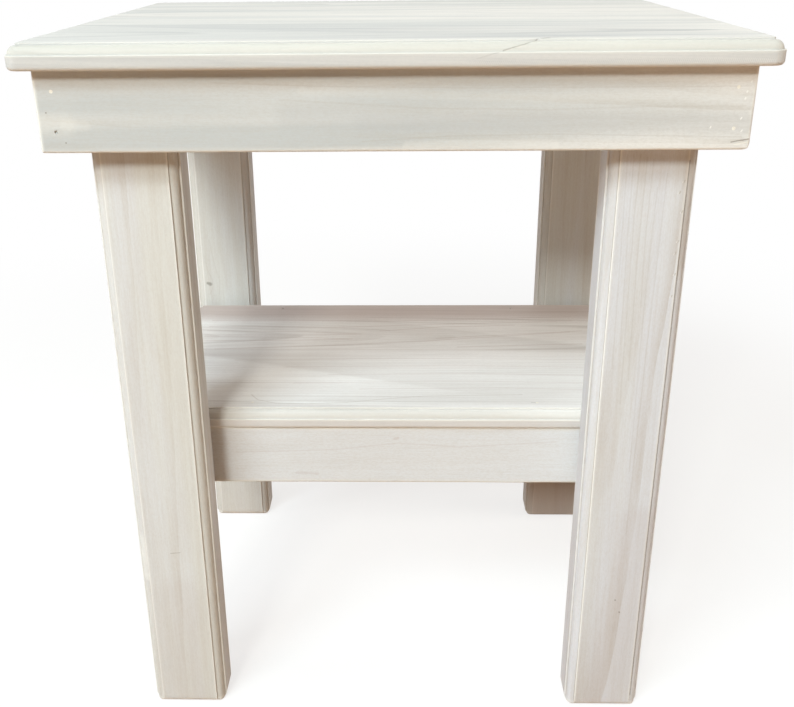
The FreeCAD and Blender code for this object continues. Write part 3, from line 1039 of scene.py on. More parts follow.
# Crack over the front edge of the top, in millimetres: x, y, z and the way out of the wood
CRACK = (
    ((109.0, -197.5, 575.0), (0, 0, 1)),
    ((99.5, -204.0, 575.0), (0, 0, 1)),
    ((93.8, -207.4, 575.0), (0, -0.4, 0.9)),
    ((93.0, -207.6, 573.5), (0, -0.3, 0.95)),
    ((85.5, -211.5, 572.0), (0, -0.66, 0.75)),
    ((72.0, -213.4, 568.4), (0, -0.99, 0.15)),
    ((68.6, -215.0, 567.5), (0, -0.7, 0.7)),
    ((55.0, -215.0, 563.6), (0, -1, 0)),
)
CRACK_FADES = 6
CRACK_WIDTH = 0.10 * MM
CRACK_DEPTH = 0.35 * MM
CRACK_LIP = 0.5 * MM
CRACK_FLARE = 1.7
CRACK_FADED = 0.15

# Faces that carry marks, the middle of the bead, and the chattered band under it, all in millimetres
TOP_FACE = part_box("top_board_front")[1].z / MM
APRON_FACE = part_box("apron_front")[0].y / MM
FRONT_LEG_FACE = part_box("leg_front_left")[0].y / MM
BACK_LEG_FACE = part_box("leg_back_left")[0].y / MM
SHELF_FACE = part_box("shelf_board_front")[1].z / MM
RAIL_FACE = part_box("shelf_rail_front")[0].y / MM
BEAD_MIDDLE = 3.3
CHATTER_TOP = 11.0
CHATTER_BOTTOM = 16.5


def on_front(y, marks):
    """Marks on an upright face, with places given as x and z."""
    return [([(x, y, z) for x, z in places], *finish) for places, *finish in marks]


def on_level(z, marks):
    """Marks on a level face, with places given as x and y."""
    return [([(x, y, z) for x, y in places], *finish) for places, *finish in marks]


def round_bead(*boards):
    """Places all round a panel, along the middle of its bead."""
    low, high = span(*boards)
    left = low.x / MM + BEAD_MIDDLE
    right = high.x / MM - BEAD_MIDDLE
    front = low.y / MM + BEAD_MIDDLE
    rear = high.y / MM - BEAD_MIDDLE
    return (left, front), (right, front), (right, rear), (left, rear), (left, front)


def top_marks():
    """Painted shade along the middle of the bead, where its highlight is brightest, the crack, and the
    small knot at its upper end.
    """
    bead = round_bead("top_board_front", "top_board_middle", "top_board_rear")
    crack = [place for place, out in CRACK]
    return on_level(TOP_FACE - BEAD_MIDDLE, [(bead, 6.5, 0.5, 0.36, CREAM)]) + [
        (crack[:CRACK_FADES], 0.7, 0.3, 0.35, DARK),
        (crack[CRACK_FADES - 1:], 0.6, 0.3, 0.1, DARK),
    ] + on_level(TOP_FACE, [
        (((101.5, -202.3), (97.5, -205.0)), 2.2, 0.8, 0.65, DARK),
        (((109.0, -197.5), (121.0, -194.5)), 0.8, 0.8, 0.3, LINE),
    ])


def apron_marks():
    """Long grain lines, a pale flame at the left, and the knocks about the right end."""
    marks = [
        (((-120, 548.0), (-40, 545.0), (60, 543.5), (236, 543.6)), 0.6, 0.8, 0.16, LINE),
        (((-75, 536.5), (26, 530.5), (101, 529.0), (169, 530.8), (234, 530.7)), 0.9, 1.2, 0.16, LINE),
        (((-20, 508.5), (40, 512.0), (113, 512.9), (234, 510.3)), 0.7, 0.8, 0.2, LINE),
        (((-70, 526.0), (30, 521.5), (236, 520.5)), 11, 8, 0.16, GREY),
        (((-20, 521.0), (236, 519.5)), 8, 6, 0.12, GREY),
        (((-60, 542.0), (100, 536.5), (236, 537.0)), 4, 3, 0.08, PALE),
        (((10, 505.5), (55, 507.5), (110, 506.0)), 4, 3, 0.14, PALE),
        (((-238, 521.0), (-222, 520.3)), 11, 4, 0.15, PALE),
        (((-222, 520.3), (-208, 520.0)), 5, 3, 0.12, PALE),
        (((227.7, 507.0), (239.4, 508.9)), 0.6, 0.4, 0.6, DARK),
        (((229.9, 505.3), (239.4, 507.0)), 0.6, 0.4, 0.6, PALE),
    ]
    dots = ((-222.5, 508.7), (-233.5, 529.0))
    flecks = (
        (234.0, 539.7), (233.2, 535.2), (236.0, 546.0), (232.3, 522.2), (233.5, 514.0), (212.6, 516.4)
    )
    for dot in dots:
        marks.append(((dot, dot), 0.7, 0.3, 0.8, DARK))
    for x, z in flecks:
        marks.append((((x, z), (x + 0.4, z + 0.8)), 0.7, 1.0, 0.7, FLECK_AND_HIGHLIGHT))
    return on_front(APRON_FACE, marks)


def leg_marks():
    """Grain and chips on the right front leg with a painted shadow line and a painted highlight along its
    beads, a split on the left one, a knot on the left rear leg, and painted shade low on the legs.
    """
    grain = (
        ((165.0, 494), (166.0, 430), (167.5, 330)),
        ((169.5, 494), (170.0, 440), (172.0, 350)),
        ((174.0, 494), (173.5, 450), (176.0, 300)),
        ((179.0, 492), (178.5, 420), (180.5, 320)),
        ((183.5, 490), (183.0, 440), (184.5, 380)),
        ((188.0, 470), (187.0, 380), (188.5, 240)),
        ((194.0, 480), (192.0, 330), (191.0, 180)),
    )
    chips = (
        (206.2, 474), (204.0, 466), (207.0, 452), (206.6, 430), (205.6, 421), (206.8, 405), (206.2, 388)
    )
    worn = [(line, 0.8, 0.8, 0.16, LINE) for line in grain]
    for x, z in chips:
        worn.append((((x, z), (x + 0.6, z + 1.2)), 0.7, 1.0, 0.5, LINE))
        worn.append((((x - 0.9, z - 0.4), (x - 0.6, z + 0.4)), 0.5, 0.8, 0.4, FLECK_AND_HIGHLIGHT))
    # Painted shadow line beside the right bead of the right front leg
    bead_shade = [(((209.3, 489), (209.3, 12)), 1.1, 0.4, 0.55, DARK)]
    front = [
        # Painted highlight along the left bead of the right front leg
        (((160.3, 489), (160.3, 12)), 0.7, 0.5, 0.6, FLECK_AND_HIGHLIGHT),
        # Mauve low on the front legs: painted shade towards the floor
        (((201, 190), (188, 10)), 24, 10, 0.17, MAUVE),
        (((-184, 110), (-190, 5)), 34, 12, 0.14, MAUVE),
        (((-188, 159.6), (-180, 160.4)), 0.5, 0.5, 0.4, DARK),
        (((187.4, 115.3), (187.6, 115.0)), 0.9, 0.5, 0.6, DARK),
        (((191.8, 102.9), (192.0, 102.6)), 0.9, 0.5, 0.6, DARK),
    ]
    back = [
        # Mauve at the rear feet: painted shadow, strong on the right one
        (((184, 140), (184, 0)), 50, 12, 0.5, MAUVE),
        (((-184, 140), (-184, 0)), 50, 12, 0.1, MAUVE),
        (((-203.6, 292.0), (-201.2, 291.0)), 2.6, 2.0, 0.7, KNOT),
        (((-206, 325), (-203.5, 308), (-199, 297), (-198.5, 288), (-203, 279)), 0.9, 1.0, 0.12, LINE),
        (((-199, 340), (-195, 312), (-191, 296), (-192, 280)), 1.0, 1.0, 0.12, LINE),
    ]
    return (
        on_front(FRONT_LEG_FACE, worn)
        + on_front(FRONT_LEG_FACE + 1.0, bead_shade)
        + on_front(FRONT_LEG_FACE, front)
        + on_front(BACK_LEG_FACE, back)
    )


def shelf_marks():
    """Painted shade along the middle of the bead, a bent grain line, a dash over a brad, long lines, and a
    painted shadow across the rear.
    """
    bead = round_bead("shelf_board_front", "shelf_board_rear")
    bent = (
        (-124, -100), (-117, -110.3), (-100.7, -116.9), (-75.8, -118), (-40.3, -115.1), (-4.6, -107.3),
        (26.3, -102.2), (110, -99)
    )
    rear_lines = (
        ((-173.7, 3.0), (-79.9, 10.5), (28.8, 23.3), (172.6, 47.1)),
        ((-190, 24), (-95, 25.5), (-43, 28.5), (-95, 33.5), (-190, 35)),
        ((-190, 39), (-90, 39.5), (-34.6, 41.8), (-90, 48), (-190, 51)),
        ((-15.9, 49.9), (44.7, 60.9), (120, 66)),
        ((-190, 63), (-60, 60), (10, 66), (180, 78)),
        ((-190, 80), (0, 78), (180, 90)),
        ((-190, 96), (20, 98), (190, 103)),
        ((-150, 112), (60, 115), (190, 113)),
        ((60, 8), (180, 16)),
        ((40, 30), (110, 40), (185, 50)),
    )
    front_lines = (
        ((-150, -24), (0, -20), (190, -22)),
        ((-100, -40), (60, -36), (190, -41)),
        ((-60, -57), (70, -54), (190, -59)),
        ((-90, -76), (40, -71), (190, -75)),
        ((-30, -88), (90, -85), (190, -90)),
    )
    marks = [
        (bent, 0.8, 0.7, 0.35, LINE),
        (((116.5, -114.6), (120.5, -115.4)), 0.9, 0.8, 0.4, KNOT),
        (((-216, -8), (216, -8)), 12, 3, 0.17, MAUVE),
        # Broad mauve band across the rear: painted shadow of the front apron
        (((-216, 125), (216, 125)), 60, 12, 0.75, MAUVE),
    ]
    marks += [(line, 1.3, 1.2, 0.34, MAUVE) for line in rear_lines]
    marks += [(line, 1.6, 1.6, 0.16, MAUVE) for line in front_lines]
    return on_level(SHELF_FACE - BEAD_MIDDLE, [(bead, 6.5, 0.5, 0.25, CREAM)]) + on_level(SHELF_FACE, marks)


def rail_marks():
    """A faint wavy line with a pin knot on it, and a brown streak near the lower edge."""
    return on_front(RAIL_FACE, [
        (((-135, 230.5), (-49.7, 233.4), (4, 239.8), (57.5, 236.1), (137, 241.4)), 0.9, 1.0, 0.16, MAUVE),
        (((0.5, 243.6), (3.0, 244.6)), 1.6, 1.2, 0.3, MAUVE),
        (((-84, 210.6), (-66, 209.8)), 1.8, 2.0, 0.22, MAUVE),
    ])


STROKES = {
    "top_wood": top_marks(),
    "apron_wood": apron_marks(),
    "leg_wood": leg_marks(),
    "shelf_wood": shelf_marks(),
    "rail_wood": rail_marks(),
}
CHATTERS = {
    "top_wood": {"Low": (TOP_FACE - CHATTER_BOTTOM) * MM, "High": (TOP_FACE - CHATTER_TOP) * MM},
}
FINISHES = {
    name: wood_material(name, look, STROKES.get(name, ()), CHATTERS.get(name))
    for name, look in LOOKS.items()
}
FINISHES["screw_steel"] = steel_material("screw_steel", (0.62, 0.58, 0.46, 1), (0.40, 0.36, 0.27, 1))
FINISHES["brad_steel"] = steel_material("brad_steel", (0.50, 0.50, 0.51, 1), (0.28, 0.28, 0.29, 1))
FINISHES["filler"] = filler_material("filler", (0.86, 0.84, 0.77, 1), (0.74, 0.70, 0.62, 1))


def deliver(piece, slot, *nodes, finish=None):
    """Give a finished piece its finish and its place on the frame."""
    piece.data.materials.clear()
    piece.data.materials.append(FINISHES[finish or slot])
    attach(piece, BODY)
    if nodes:
        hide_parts(*nodes)


# Wooden pieces

GRAIN_X_FLAT = (X, Y, Z)
GRAIN_X_UPRIGHT = (X, Z, Y)
GRAIN_Y_UPRIGHT = (Y, Z, X)
GRAIN_Z = (Z, X, Y)


def split_open(piece):
    """Open the crack in the front board as a thin groove."""
    rings = []
    places = [Vector(place) * MM for place, out in CRACK]
    for index, (place, out) in enumerate(CRACK):
        outward = Vector(out).normalized()
        run = places[min(index + 1, len(places) - 1)] - places[max(index - 1, 0)]
        across = run.cross(outward).normalized()
        open_share = 1.0 if 0 < index < CRACK_FADES else CRACK_FADED
        aside = across * (CRACK_WIDTH * open_share) * CRACK_FLARE
        deep = CRACK_DEPTH * open_share
        lip = places[index] + outward * CRACK_LIP
        ring = [lip + aside, lip - aside, places[index] - outward * deep]
        rings.append([(point, 0.0, 0.0) for point in ring])
    carve(piece, to_object("crack", skin(rings)))


def dress(piece, node, slot, axes, log):
    """Lay the grain of a wooden piece, shade it and put it in the place of its CAD node."""
    mark_log(piece, axes, *log)
    shade(piece)
    deliver(piece, slot, node)


# Boards of the panels: heart of the log, lean of the grain, start along the log, tints of the ends
TOP_BOARDS = {
    # Tints lean to the paler second wash towards the right: partly tone, partly painted sheen on the right
    # of the top
    "top_board_front": ((-0.150, 0.500), 0.03, 1, (0.1, 0.9)),
    "top_board_middle": ((0.035, 0.470), -0.04, 4, (0.3, 0.9)),
    "top_board_rear": ((0.160, 0.510), 0.035, 7, (0.2, 0.8)),
}
SHELF_BOARDS = {
    "shelf_board_front": ((-0.190, 0.250), 0.01, 20, (0.1, 0.1)),
    # The rear board takes the darker second wash: painted shade at the back of the shelf
    "shelf_board_rear": ((0.036, 0.225), 0.05, 23, (0.9, 0.9)),
}


def cut_panel(boards, seed):
    """Boards of a panel with the routed edge, cut apart at their seams."""
    names = list(boards)
    low, high = span(*names)
    seams = [None, *(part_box(name)[0].y for name in names[1:]), None]
    pieces = {}
    for name, front, rear in zip(names, seams, seams[1:]):
        pieces[name] = slice_panel(name + "_washed", panel_rings(low, high, seed), front, rear)
    return pieces


def make_top():
    """Three boards of the top, with the crack in the front one."""
    pieces = cut_panel(TOP_BOARDS, seed=1)
    split_open(pieces["top_board_front"])
    for name, piece in pieces.items():
        dress(piece, name, "top_wood", GRAIN_X_FLAT, TOP_BOARDS[name])


def make_shelf():
    """Two boards of the shelf, with the holes over their brads."""
    spots = set_below(fastener_spots("shelf_brads"))
    for name, piece in cut_panel(SHELF_BOARDS, seed=2).items():
        low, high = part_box(name)
        drill(piece, [spot for spot in spots if low.y < spot.head.y < high.y], BRAD_SET)
        dress(piece, name, "shelf_wood", GRAIN_X_FLAT, SHELF_BOARDS[name])


# Tints of the legs at the foot and the top
LEG_TINTS = {
    "leg_front_left": (0.1, 0.3),
    "leg_front_right": (0.7, 1.0),
    "leg_back_left": (0.0, 0.0),
    "leg_back_right": (0.2, 0.2),
}

LEG_DENTS = {
    "leg_front_left": (
        Dent(-1, -1, height=136 * MM, length=6 * MM, depth=1.9 * MM),
        Dent(-1, -1, height=156 * MM, length=24 * MM, depth=1.3 * MM),
    ),
}
LEG_HEART_STEP = 0.030
LEG_HEART_BACK = 0.070


def make_legs():
    """Four beaded legs, with the countersinks of their screws."""
    spots = fastener_spots("leg_screws")
    for index, (name, tints) in enumerate(LEG_TINTS.items()):
        low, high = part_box(name)
        middle = (low + high) / 2
        rings = leg_rings(low, high, LEG_DENTS.get(name, ()), seed=10 + index)
        piece = to_object(name + "_washed", skin(rings))
        near = [spot for spot in spots if spot.head.x * middle.x > 0 and spot.head.y * middle.y > 0]
        drill(piece, near, SCREW_HEAD_HEIGHT, countersunk=True)
        heart = (middle.x + LEG_HEART_STEP * (index - 1.5), middle.y + LEG_HEART_BACK)
        dress(piece, name, "leg_wood", GRAIN_Z, (heart, 0.02, 40 + 3 * index, tints))


def make_board(name, slot, axes, log, seed, corner=None, brads=(), screws=()):
    """One plain board with eased arrises and its fastener holes."""
    low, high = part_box(name)
    rings = board_rings(low, high, axes[0], seed)
    if corner:
        knock_corner(rings, *corner)
    piece = to_object(name + "_washed", skin(rings))
    if brads:
        drill(piece, brads, BRAD_SET)
    if screws:
        drill(piece, screws, SCREW_HEAD_HEIGHT, countersunk=True)
    dress(piece, name, slot, axes, log)


EVEN = (0.4, 0.6)
LEFT_TO_RIGHT = (0.0, 1.0)
KNOCKED_RADIUS = 5 * MM


def make_aprons():
    """Four apron boards, the front one with a knocked corner."""
    slot = "apron_wood"
    spots = set_below(fastener_spots("apron_brads"))
    front = [spot for spot in spots if spot.head.y < 0]
    back = [spot for spot in spots if spot.head.y > 0]
    low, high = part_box("apron_front")
    knocked = ((high.x, low.z), (-1, 1), KNOCKED_RADIUS)
    front_log = ((0.560, -0.150), 0.03, 60, LEFT_TO_RIGHT)
    back_log = ((0.500, 0.140), -0.03, 63, EVEN)
    make_board("apron_front", slot, GRAIN_X_UPRIGHT, front_log, 20, corner=knocked, brads=front)
    make_board("apron_back", slot, GRAIN_X_UPRIGHT, back_log, 21, brads=back)
    make_board("apron_left", slot, GRAIN_Y_UPRIGHT, ((0.510, -0.170), 0.02, 66, EVEN), 22)
    make_board("apron_right", slot, GRAIN_Y_UPRIGHT, ((0.550, 0.160), -0.02, 69, EVEN), 23)


def make_rails():
    """Four rails under the shelf."""
    slot = "rail_wood"
    spots = set_below(fastener_spots("rail_brads"))
    left = [spot for spot in spots if spot.head.x < 0]
    right = [spot for spot in spots if spot.head.x > 0]
    left_log = ((0.220, -0.140), 0.03, 86, EVEN)
    right_log = ((0.235, 0.130), -0.03, 89, EVEN)
    make_board("shelf_rail_front", slot, GRAIN_X_UPRIGHT, ((0.215, -0.060), 0.03, 80, EVEN), 30)
    make_board("shelf_rail_back", slot, GRAIN_X_UPRIGHT, ((0.240, 0.050), -0.03, 83, EVEN), 31)
    make_board("shelf_rail_left", slot, GRAIN_Y_UPRIGHT, left_log, 32, brads=left)
    make_board("shelf_rail_right", slot, GRAIN_Y_UPRIGHT, right_log, 33, brads=right)


def make_cleats():
    """Two cleats under the top."""
    spots = fastener_spots("cleat_screws")
    for index, (name, side) in enumerate((("top_cleat_front", -1), ("top_cleat_back", 1))):
        near = [spot for spot in spots if spot.head.y * side > 0]
        log = ((0.520, 0.110 * side), 0.02, 95 + 3 * index, EVEN)
        make_board(name, "cleat_wood", GRAIN_X_UPRIGHT, log, 40 + index, screws=near)


make_top()
make_shelf()
make_legs()
make_aprons()
make_rails()
make_cleats()


# Fasteners by geometry nodes

def transform(bench, geometry, height):
    """Move a geometry along its own axis."""
    shift = bench.add("ShaderNodeCombineXYZ", {"Z": height}).outputs[0]
    return bench.add("GeometryNodeTransform", {"Geometry": geometry, "Translation": shift}).outputs[0]


def instance_and_finish(bench, given, result, shape):
    """Put a shape on every point, turned along its aim, and finish it."""
    aim = bench.add("GeometryNodeInputNamedAttribute", {"Name": "aim"}, data_type="FLOAT_VECTOR")
    turn = bench.add("FunctionNodeAlignRotationToVector", {"Vector": aim.outputs[0]}, axis="Z")
    placed = bench.add("GeometryNodeInstanceOnPoints", {
        "Points": given["Spots"], "Instance": shape, "Rotation": turn.outputs[0],
    })
    real = bench.add("GeometryNodeRealizeInstances", {"Geometry": placed.outputs[0]})
    done = bench.add("GeometryNodeSetMaterial", {"Geometry": real.outputs[0], "Material": given["Finish"]})
    bench.feed(result["Fasteners"], done.outputs[0])


def shaft(bench, radius, low, high):
    """Cylinder between two heights."""
    length = bench.math("SUBTRACT", high, low)
    inputs = {"Vertices": SHAFT_SIDES, "Radius": radius, "Depth": length}
    body = bench.add("GeometryNodeMeshCylinder", inputs).outputs["Mesh"]
    return transform(bench, body, bench.math("MULTIPLY", bench.math("ADD", high, low), 0.5))


def taper(bench, radius_low, radius_high, low, length, sides):
    """Cone between two radii, from a height up."""
    inputs = {"Vertices": sides, "Radius Bottom": radius_low, "Radius Top": radius_high, "Depth": length}
    body = bench.add("GeometryNodeMeshCone", inputs).outputs["Mesh"]
    return transform(bench, body, low)


def screw_tree():
    """Countersunk screw with a cross recess and a thread, one on each point."""
    bench, given, result = new_group(
        "Countersunk screws",
        {
            "Spots": ("Geometry", None),
            "Head Radius": ("Float", 0.004),
            "Head Height": ("Float", SCREW_HEAD_HEIGHT),
            "Root Radius": ("Float", SCREW_ROOT_RADIUS),
            "Crest Radius": ("Float", SCREW_CREST_RADIUS),
            "Length": ("Float", 0.03),
            "Tip Length": ("Float", SCREW_TIP),
            "Pitch": ("Float", SCREW_PITCH),
            "Recess Width": ("Float", RECESS_WIDTH),
            "Recess Length": ("Float", RECESS_LENGTH),
            "Recess Depth": ("Float", RECESS_DEPTH),
            "Finish": ("Material", None),
        },
        {"Fasteners": "Geometry"},
        "GeometryNodeTree",
    )
    head = taper(bench, given["Head Radius"], given["Root Radius"], 0.0, given["Head Height"], HEAD_SIDES)
    deep = bench.math("MULTIPLY", given["Recess Depth"], 2.0)
    shallower = bench.math("MULTIPLY", deep, SECOND_SLOT_SHARE)
    recess = bench.add("GeometryNodeMeshBoolean", operation="DIFFERENCE")
    bench.feed(recess.inputs["Mesh 1"], head)
    for wide, long, depth in (
        ("Recess Width", "Recess Length", deep), ("Recess Length", "Recess Width", shallower)
    ):
        size = bench.add("ShaderNodeCombineXYZ", {"X": given[wide], "Y": given[long], "Z": depth})
        slot = bench.add("GeometryNodeMeshCube", {"Size": size.outputs[0]})
        bench.feed(recess.inputs["Mesh 2"], slot.outputs["Mesh"])
    point = bench.math("SUBTRACT", given["Length"], given["Tip Length"])
    root = shaft(bench, given["Root Radius"], given["Head Height"], point)
    tip = taper(bench, given["Root Radius"], SCREW_POINT_RADIUS, point, given["Tip Length"], TIP_SIDES)
    threaded = bench.math("SUBTRACT", point, given["Head Height"])
    turns = bench.math("DIVIDE", threaded, given["Pitch"])
    depth = bench.math("SUBTRACT", given["Crest Radius"], given["Root Radius"])
    thick = bench.math("MULTIPLY", depth, THREAD_SHARE)
    middle = bench.math("SUBTRACT", given["Crest Radius"], thick)
    spiral = bench.add("GeometryNodeCurveSpiral", {
        "Resolution": THREAD_STEPS,
        "Rotations": turns,
        "Start Radius": middle,
        "End Radius": middle,
        "Height": threaded,
    })
    section = bench.add("GeometryNodeCurvePrimitiveCircle", {"Resolution": 3, "Radius": thick})
    swept = bench.add("GeometryNodeCurveToMesh", {
        "Curve": spiral.outputs[0], "Profile Curve": section.outputs[0], "Fill Caps": True,
    })
    thread = transform(bench, swept.outputs[0], given["Head Height"])
    join = bench.add("GeometryNodeJoinGeometry")
    for part in (recess.outputs[0], root, tip, thread):
        bench.feed(join.inputs[0], part)
    instance_and_finish(bench, given, result, join.outputs[0])
    return bench.tree


def brad_tree():
    """Brad with a small round head, one on each point."""
    bench, given, result = new_group(
        "Brads",
        {
            "Spots": ("Geometry", None),
            "Head Radius": ("Float", 0.0012),
            "Head Height": ("Float", BRAD_HEAD_HEIGHT),
            "Wire Radius": ("Float", BRAD_RADIUS),
            "Length": ("Float", 0.03),
            "Tip Length": ("Float", BRAD_TIP),
            "Finish": ("Material", None),
        },
        {"Fasteners": "Geometry"},
        "GeometryNodeTree",
    )
    neck = bench.math("MULTIPLY", given["Head Height"], 0.5)
    head = shaft(bench, given["Head Radius"], 0.0, neck)
    throat = taper(bench, given["Head Radius"], given["Wire Radius"], neck, neck, THROAT_SIDES)
    point = bench.math("SUBTRACT", given["Length"], given["Tip Length"])
    wire = shaft(bench, given["Wire Radius"], given["Head Height"], point)
    tip = taper(bench, given["Wire Radius"], BRAD_POINT_RADIUS, point, given["Tip Length"], TIP_SIDES)
    join = bench.add("GeometryNodeJoinGeometry")
    for part in (head, throat, wire, tip):
        bench.feed(join.inputs[0], part)
    instance_and_finish(bench, given, result, join.outputs[0])
    return bench.tree


def dowel_tree():
    """Fluted dowel with eased ends, one on each point."""
    bench, given, result = new_group(
        "Fluted dowels",
        {
            "Spots": ("Geometry", None),
            "Radius": ("Float", 0.004),
            "Length": ("Float", 0.03),
            "Flutes": ("Int", 14),
            "Flute Depth": ("Float", 0.0003),
            "End Share": ("Float", 0.82),
            "Finish": ("Material", None),
        },
        {"Fasteners": "Geometry"},
        "GeometryNodeTree",
    )
    far = bench.add("ShaderNodeCombineXYZ", {"Z": given["Length"]}).outputs[0]
    line = bench.add("GeometryNodeCurvePrimitiveLine", {"Start": (0, 0, 0), "End": far}).outputs[0]
    stepped = bench.add("GeometryNodeResampleCurve", {"Curve": line, "Count": 13}).outputs[0]
    share = bench.add("GeometryNodeSplineParameter").outputs["Factor"]
    from_middle = bench.math("ABSOLUTE", bench.math("MULTIPLY_ADD", share, 2.0, -1.0))
    at_end = bench.math("GREATER_THAN", from_middle, 0.95)
    narrower = bench.math("SUBTRACT", given["End Share"], 1.0)
    swell = bench.math("MULTIPLY_ADD", at_end, narrower, 1.0)
    core = bench.add("GeometryNodeSetCurveRadius", {"Curve": stepped, "Radius": swell}).outputs[0]
    inner = bench.math("SUBTRACT", given["Radius"], given["Flute Depth"])
    section = bench.add("GeometryNodeCurveStar", {
        "Points": given["Flutes"], "Inner Radius": inner, "Outer Radius": given["Radius"],
    })
    swept = bench.add("GeometryNodeCurveToMesh", {
        "Curve": core, "Profile Curve": section.outputs[0], "Fill Caps": True,
    })
    instance_and_finish(bench, given, result, swept.outputs[0])
    return bench.tree


def plug_tree():
    """Plug of filler over a sunk brad, one on each point."""
    bench, given, result = new_group(
        "Filler plugs",
        {
            "Spots": ("Geometry", None),
            "Radius": ("Float", 0.001),
            "Sunk": ("Float", 0.00005),
            "Depth": ("Float", BRAD_SET),
            "Finish": ("Material", None),
        },
        {"Fasteners": "Geometry"},
        "GeometryNodeTree",
    )
    plug = shaft(bench, given["Radius"], given["Sunk"], given["Depth"])
    instance_and_finish(bench, given, result, plug)
    return bench.tree


def spot_object(name, spots):
    """Loose points with the direction of each fastener."""
    mesh = bpy.data.meshes.new(name)
    mesh.from_pydata([spot.head for spot in spots], [], [])
    aims = mesh.attributes.new("aim", "FLOAT_VECTOR", "POINT")
    aims.data.foreach_set("vector", [value for spot in spots for value in spot.aim])
    piece = bpy.data.objects.new(name, mesh)
    bpy.context.scene.collection.objects.link(piece)
    return piece


def grow(piece, tree, values):
    """Run a geometry tree on a piece with named values, and keep the plain mesh."""
    modifier = piece.modifiers.new("Grow", "NODES")
    modifier.node_group = tree
    for item in tree.interface.items_tree:
        if item.item_type == "SOCKET" and item.in_out == "INPUT" and item.name in values:
            modifier[item.identifier] = values[item.name]
    bake_modifiers(piece)


def make_fasteners():
    """Screws and brads in their holes."""
    screws = screw_tree()
    brads = brad_tree()
    for node, slot, tree in (
        ("leg_screws", "screw_steel", screws),
        ("cleat_screws", "screw_steel", screws),
        ("apron_brads", "brad_steel", brads),
        ("rail_brads", "brad_steel", brads),
        ("shelf_brads", "brad_steel", brads),
    ):
        spots = fastener_spots(node)
        piece = spot_object(node + "_driven", spots)
        first = spots[0]
        grow(piece, tree, {"Length": first.length, "Head Radius": first.radius, "Finish": FINISHES[slot]})
        shade(piece)
        deliver(piece, slot, node)


def make_dowels():
    """Dowels between the side rails and the legs."""
    spots = fastener_spots("rail_dowels")
    piece = spot_object("rail_dowels_glued", spots)
    first = spots[0]
    values = {"Length": first.length, "Radius": first.radius, "Finish": FINISHES["dowel_wood"]}
    grow(piece, dowel_tree(), values)
    log = ((0.200, 0.150), 0.0, 110, (0.5, 0.5))
    dress(piece, "rail_dowels", "dowel_wood", GRAIN_Y_UPRIGHT, log)


LOW_ON_APRON = 20 * MM


def left_open(spot):
    """Whether a brad hole was left unfilled: low at the left in front, or at the back of the shelf."""
    head = spot.head
    apron_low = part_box("apron_front")[0].z
    shelf_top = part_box("shelf_board_rear")[1].z
    at_left = head.x < 0 and head.y < 0 and apron_low < head.z < apron_low + LOW_ON_APRON
    at_back = head.y > 0 and abs(head.z - shelf_top) < BRAD_SET
    return at_left or at_back


def make_plugs():
    """Filler over the sunk brads."""
    plugs = plug_tree()
    for node, slot in (
        ("apron_brads", "apron_wood"),
        ("rail_brads", "rail_wood"),
        ("shelf_brads", "shelf_wood"),
    ):
        spots = [spot for spot in set_below(fastener_spots(node)) if not left_open(spot)]
        piece = spot_object(node + "_filler", spots)
        radius = spots[0].radius + FILLER_SHARE * HOLE_ROOM
        grow(piece, plugs, {"Radius": radius, "Finish": FINISHES["filler"]})
        shade(piece)
        deliver(piece, slot, finish="filler")


make_fasteners()
make_dowels()
make_plugs()


# Camera, light and floor

# Lens in pixels and place of the camera in metres and radians, fitted to the edges in the photograph
PHOTO_WIDTH = 794
FOCAL_PIXELS = 990.8
CENTRE_PIXEL = (377.4, 353.0)
FRAME_CENTRE = (397.0, 353.5)
SENSOR = 36.0
CAMERA_PLACE = Vector((0.0083, -0.8751, 0.6374))
CAMERA_YAW = -0.0292
CAMERA_PITCH = -0.3992
CAMERA_ROLL = -0.0110


def make_camera():
    """Camera at the photograph's angle."""
    data = bpy.data.cameras.new("camera")
    data.sensor_width = SENSOR
    data.sensor_fit = "HORIZONTAL"
    data.lens = FOCAL_PIXELS * SENSOR / PHOTO_WIDTH
    data.shift_x = (FRAME_CENTRE[0] - CENTRE_PIXEL[0]) / PHOTO_WIDTH
    data.shift_y = (CENTRE_PIXEL[1] - FRAME_CENTRE[1]) / PHOTO_WIDTH
    data.clip_start = 0.01
    level = math.cos(CAMERA_PITCH)
    forward = Vector((math.sin(CAMERA_YAW) * level, math.cos(CAMERA_YAW) * level, math.sin(CAMERA_PITCH)))
    flat_right = Vector((math.cos(CAMERA_YAW), -math.sin(CAMERA_YAW), 0))
    flat_up = flat_right.cross(forward)
    right = math.cos(CAMERA_ROLL) * flat_right + math.sin(CAMERA_ROLL) * flat_up
    up = math.cos(CAMERA_ROLL) * flat_up - math.sin(CAMERA_ROLL) * flat_right
    camera = bpy.data.objects.new("camera", data)
    rotation = Matrix((right, up, -forward)).transposed()
    camera.matrix_world = Matrix.Translation(CAMERA_PLACE) @ rotation.to_4x4()
    bpy.context.scene.collection.objects.link(camera)
    bpy.context.scene.camera = camera


# Soft lamps: degrees to the left of the front and above the floor, width, height, watts and colour
LAMP_AIM = Vector((0.0, -0.10, 0.38))
LAMP_DISTANCE = 4.0
LAMPS = (
    ("window_right", 15, 31.5, 0.60, 0.60, 88.0, (0.95, 1.0, 0.96)),
    ("window_left", 37, 43, 1.50, 0.90, 95.0, (0.84, 1.0, 1.08)),
    ("side_left", 76, 25, 1.00, 1.20, 28.0, (0.98, 1.0, 1.02)),
    ("side_right", -90, 25, 1.60, 1.40, 40.0, (1.0, 0.95, 0.87)),
)

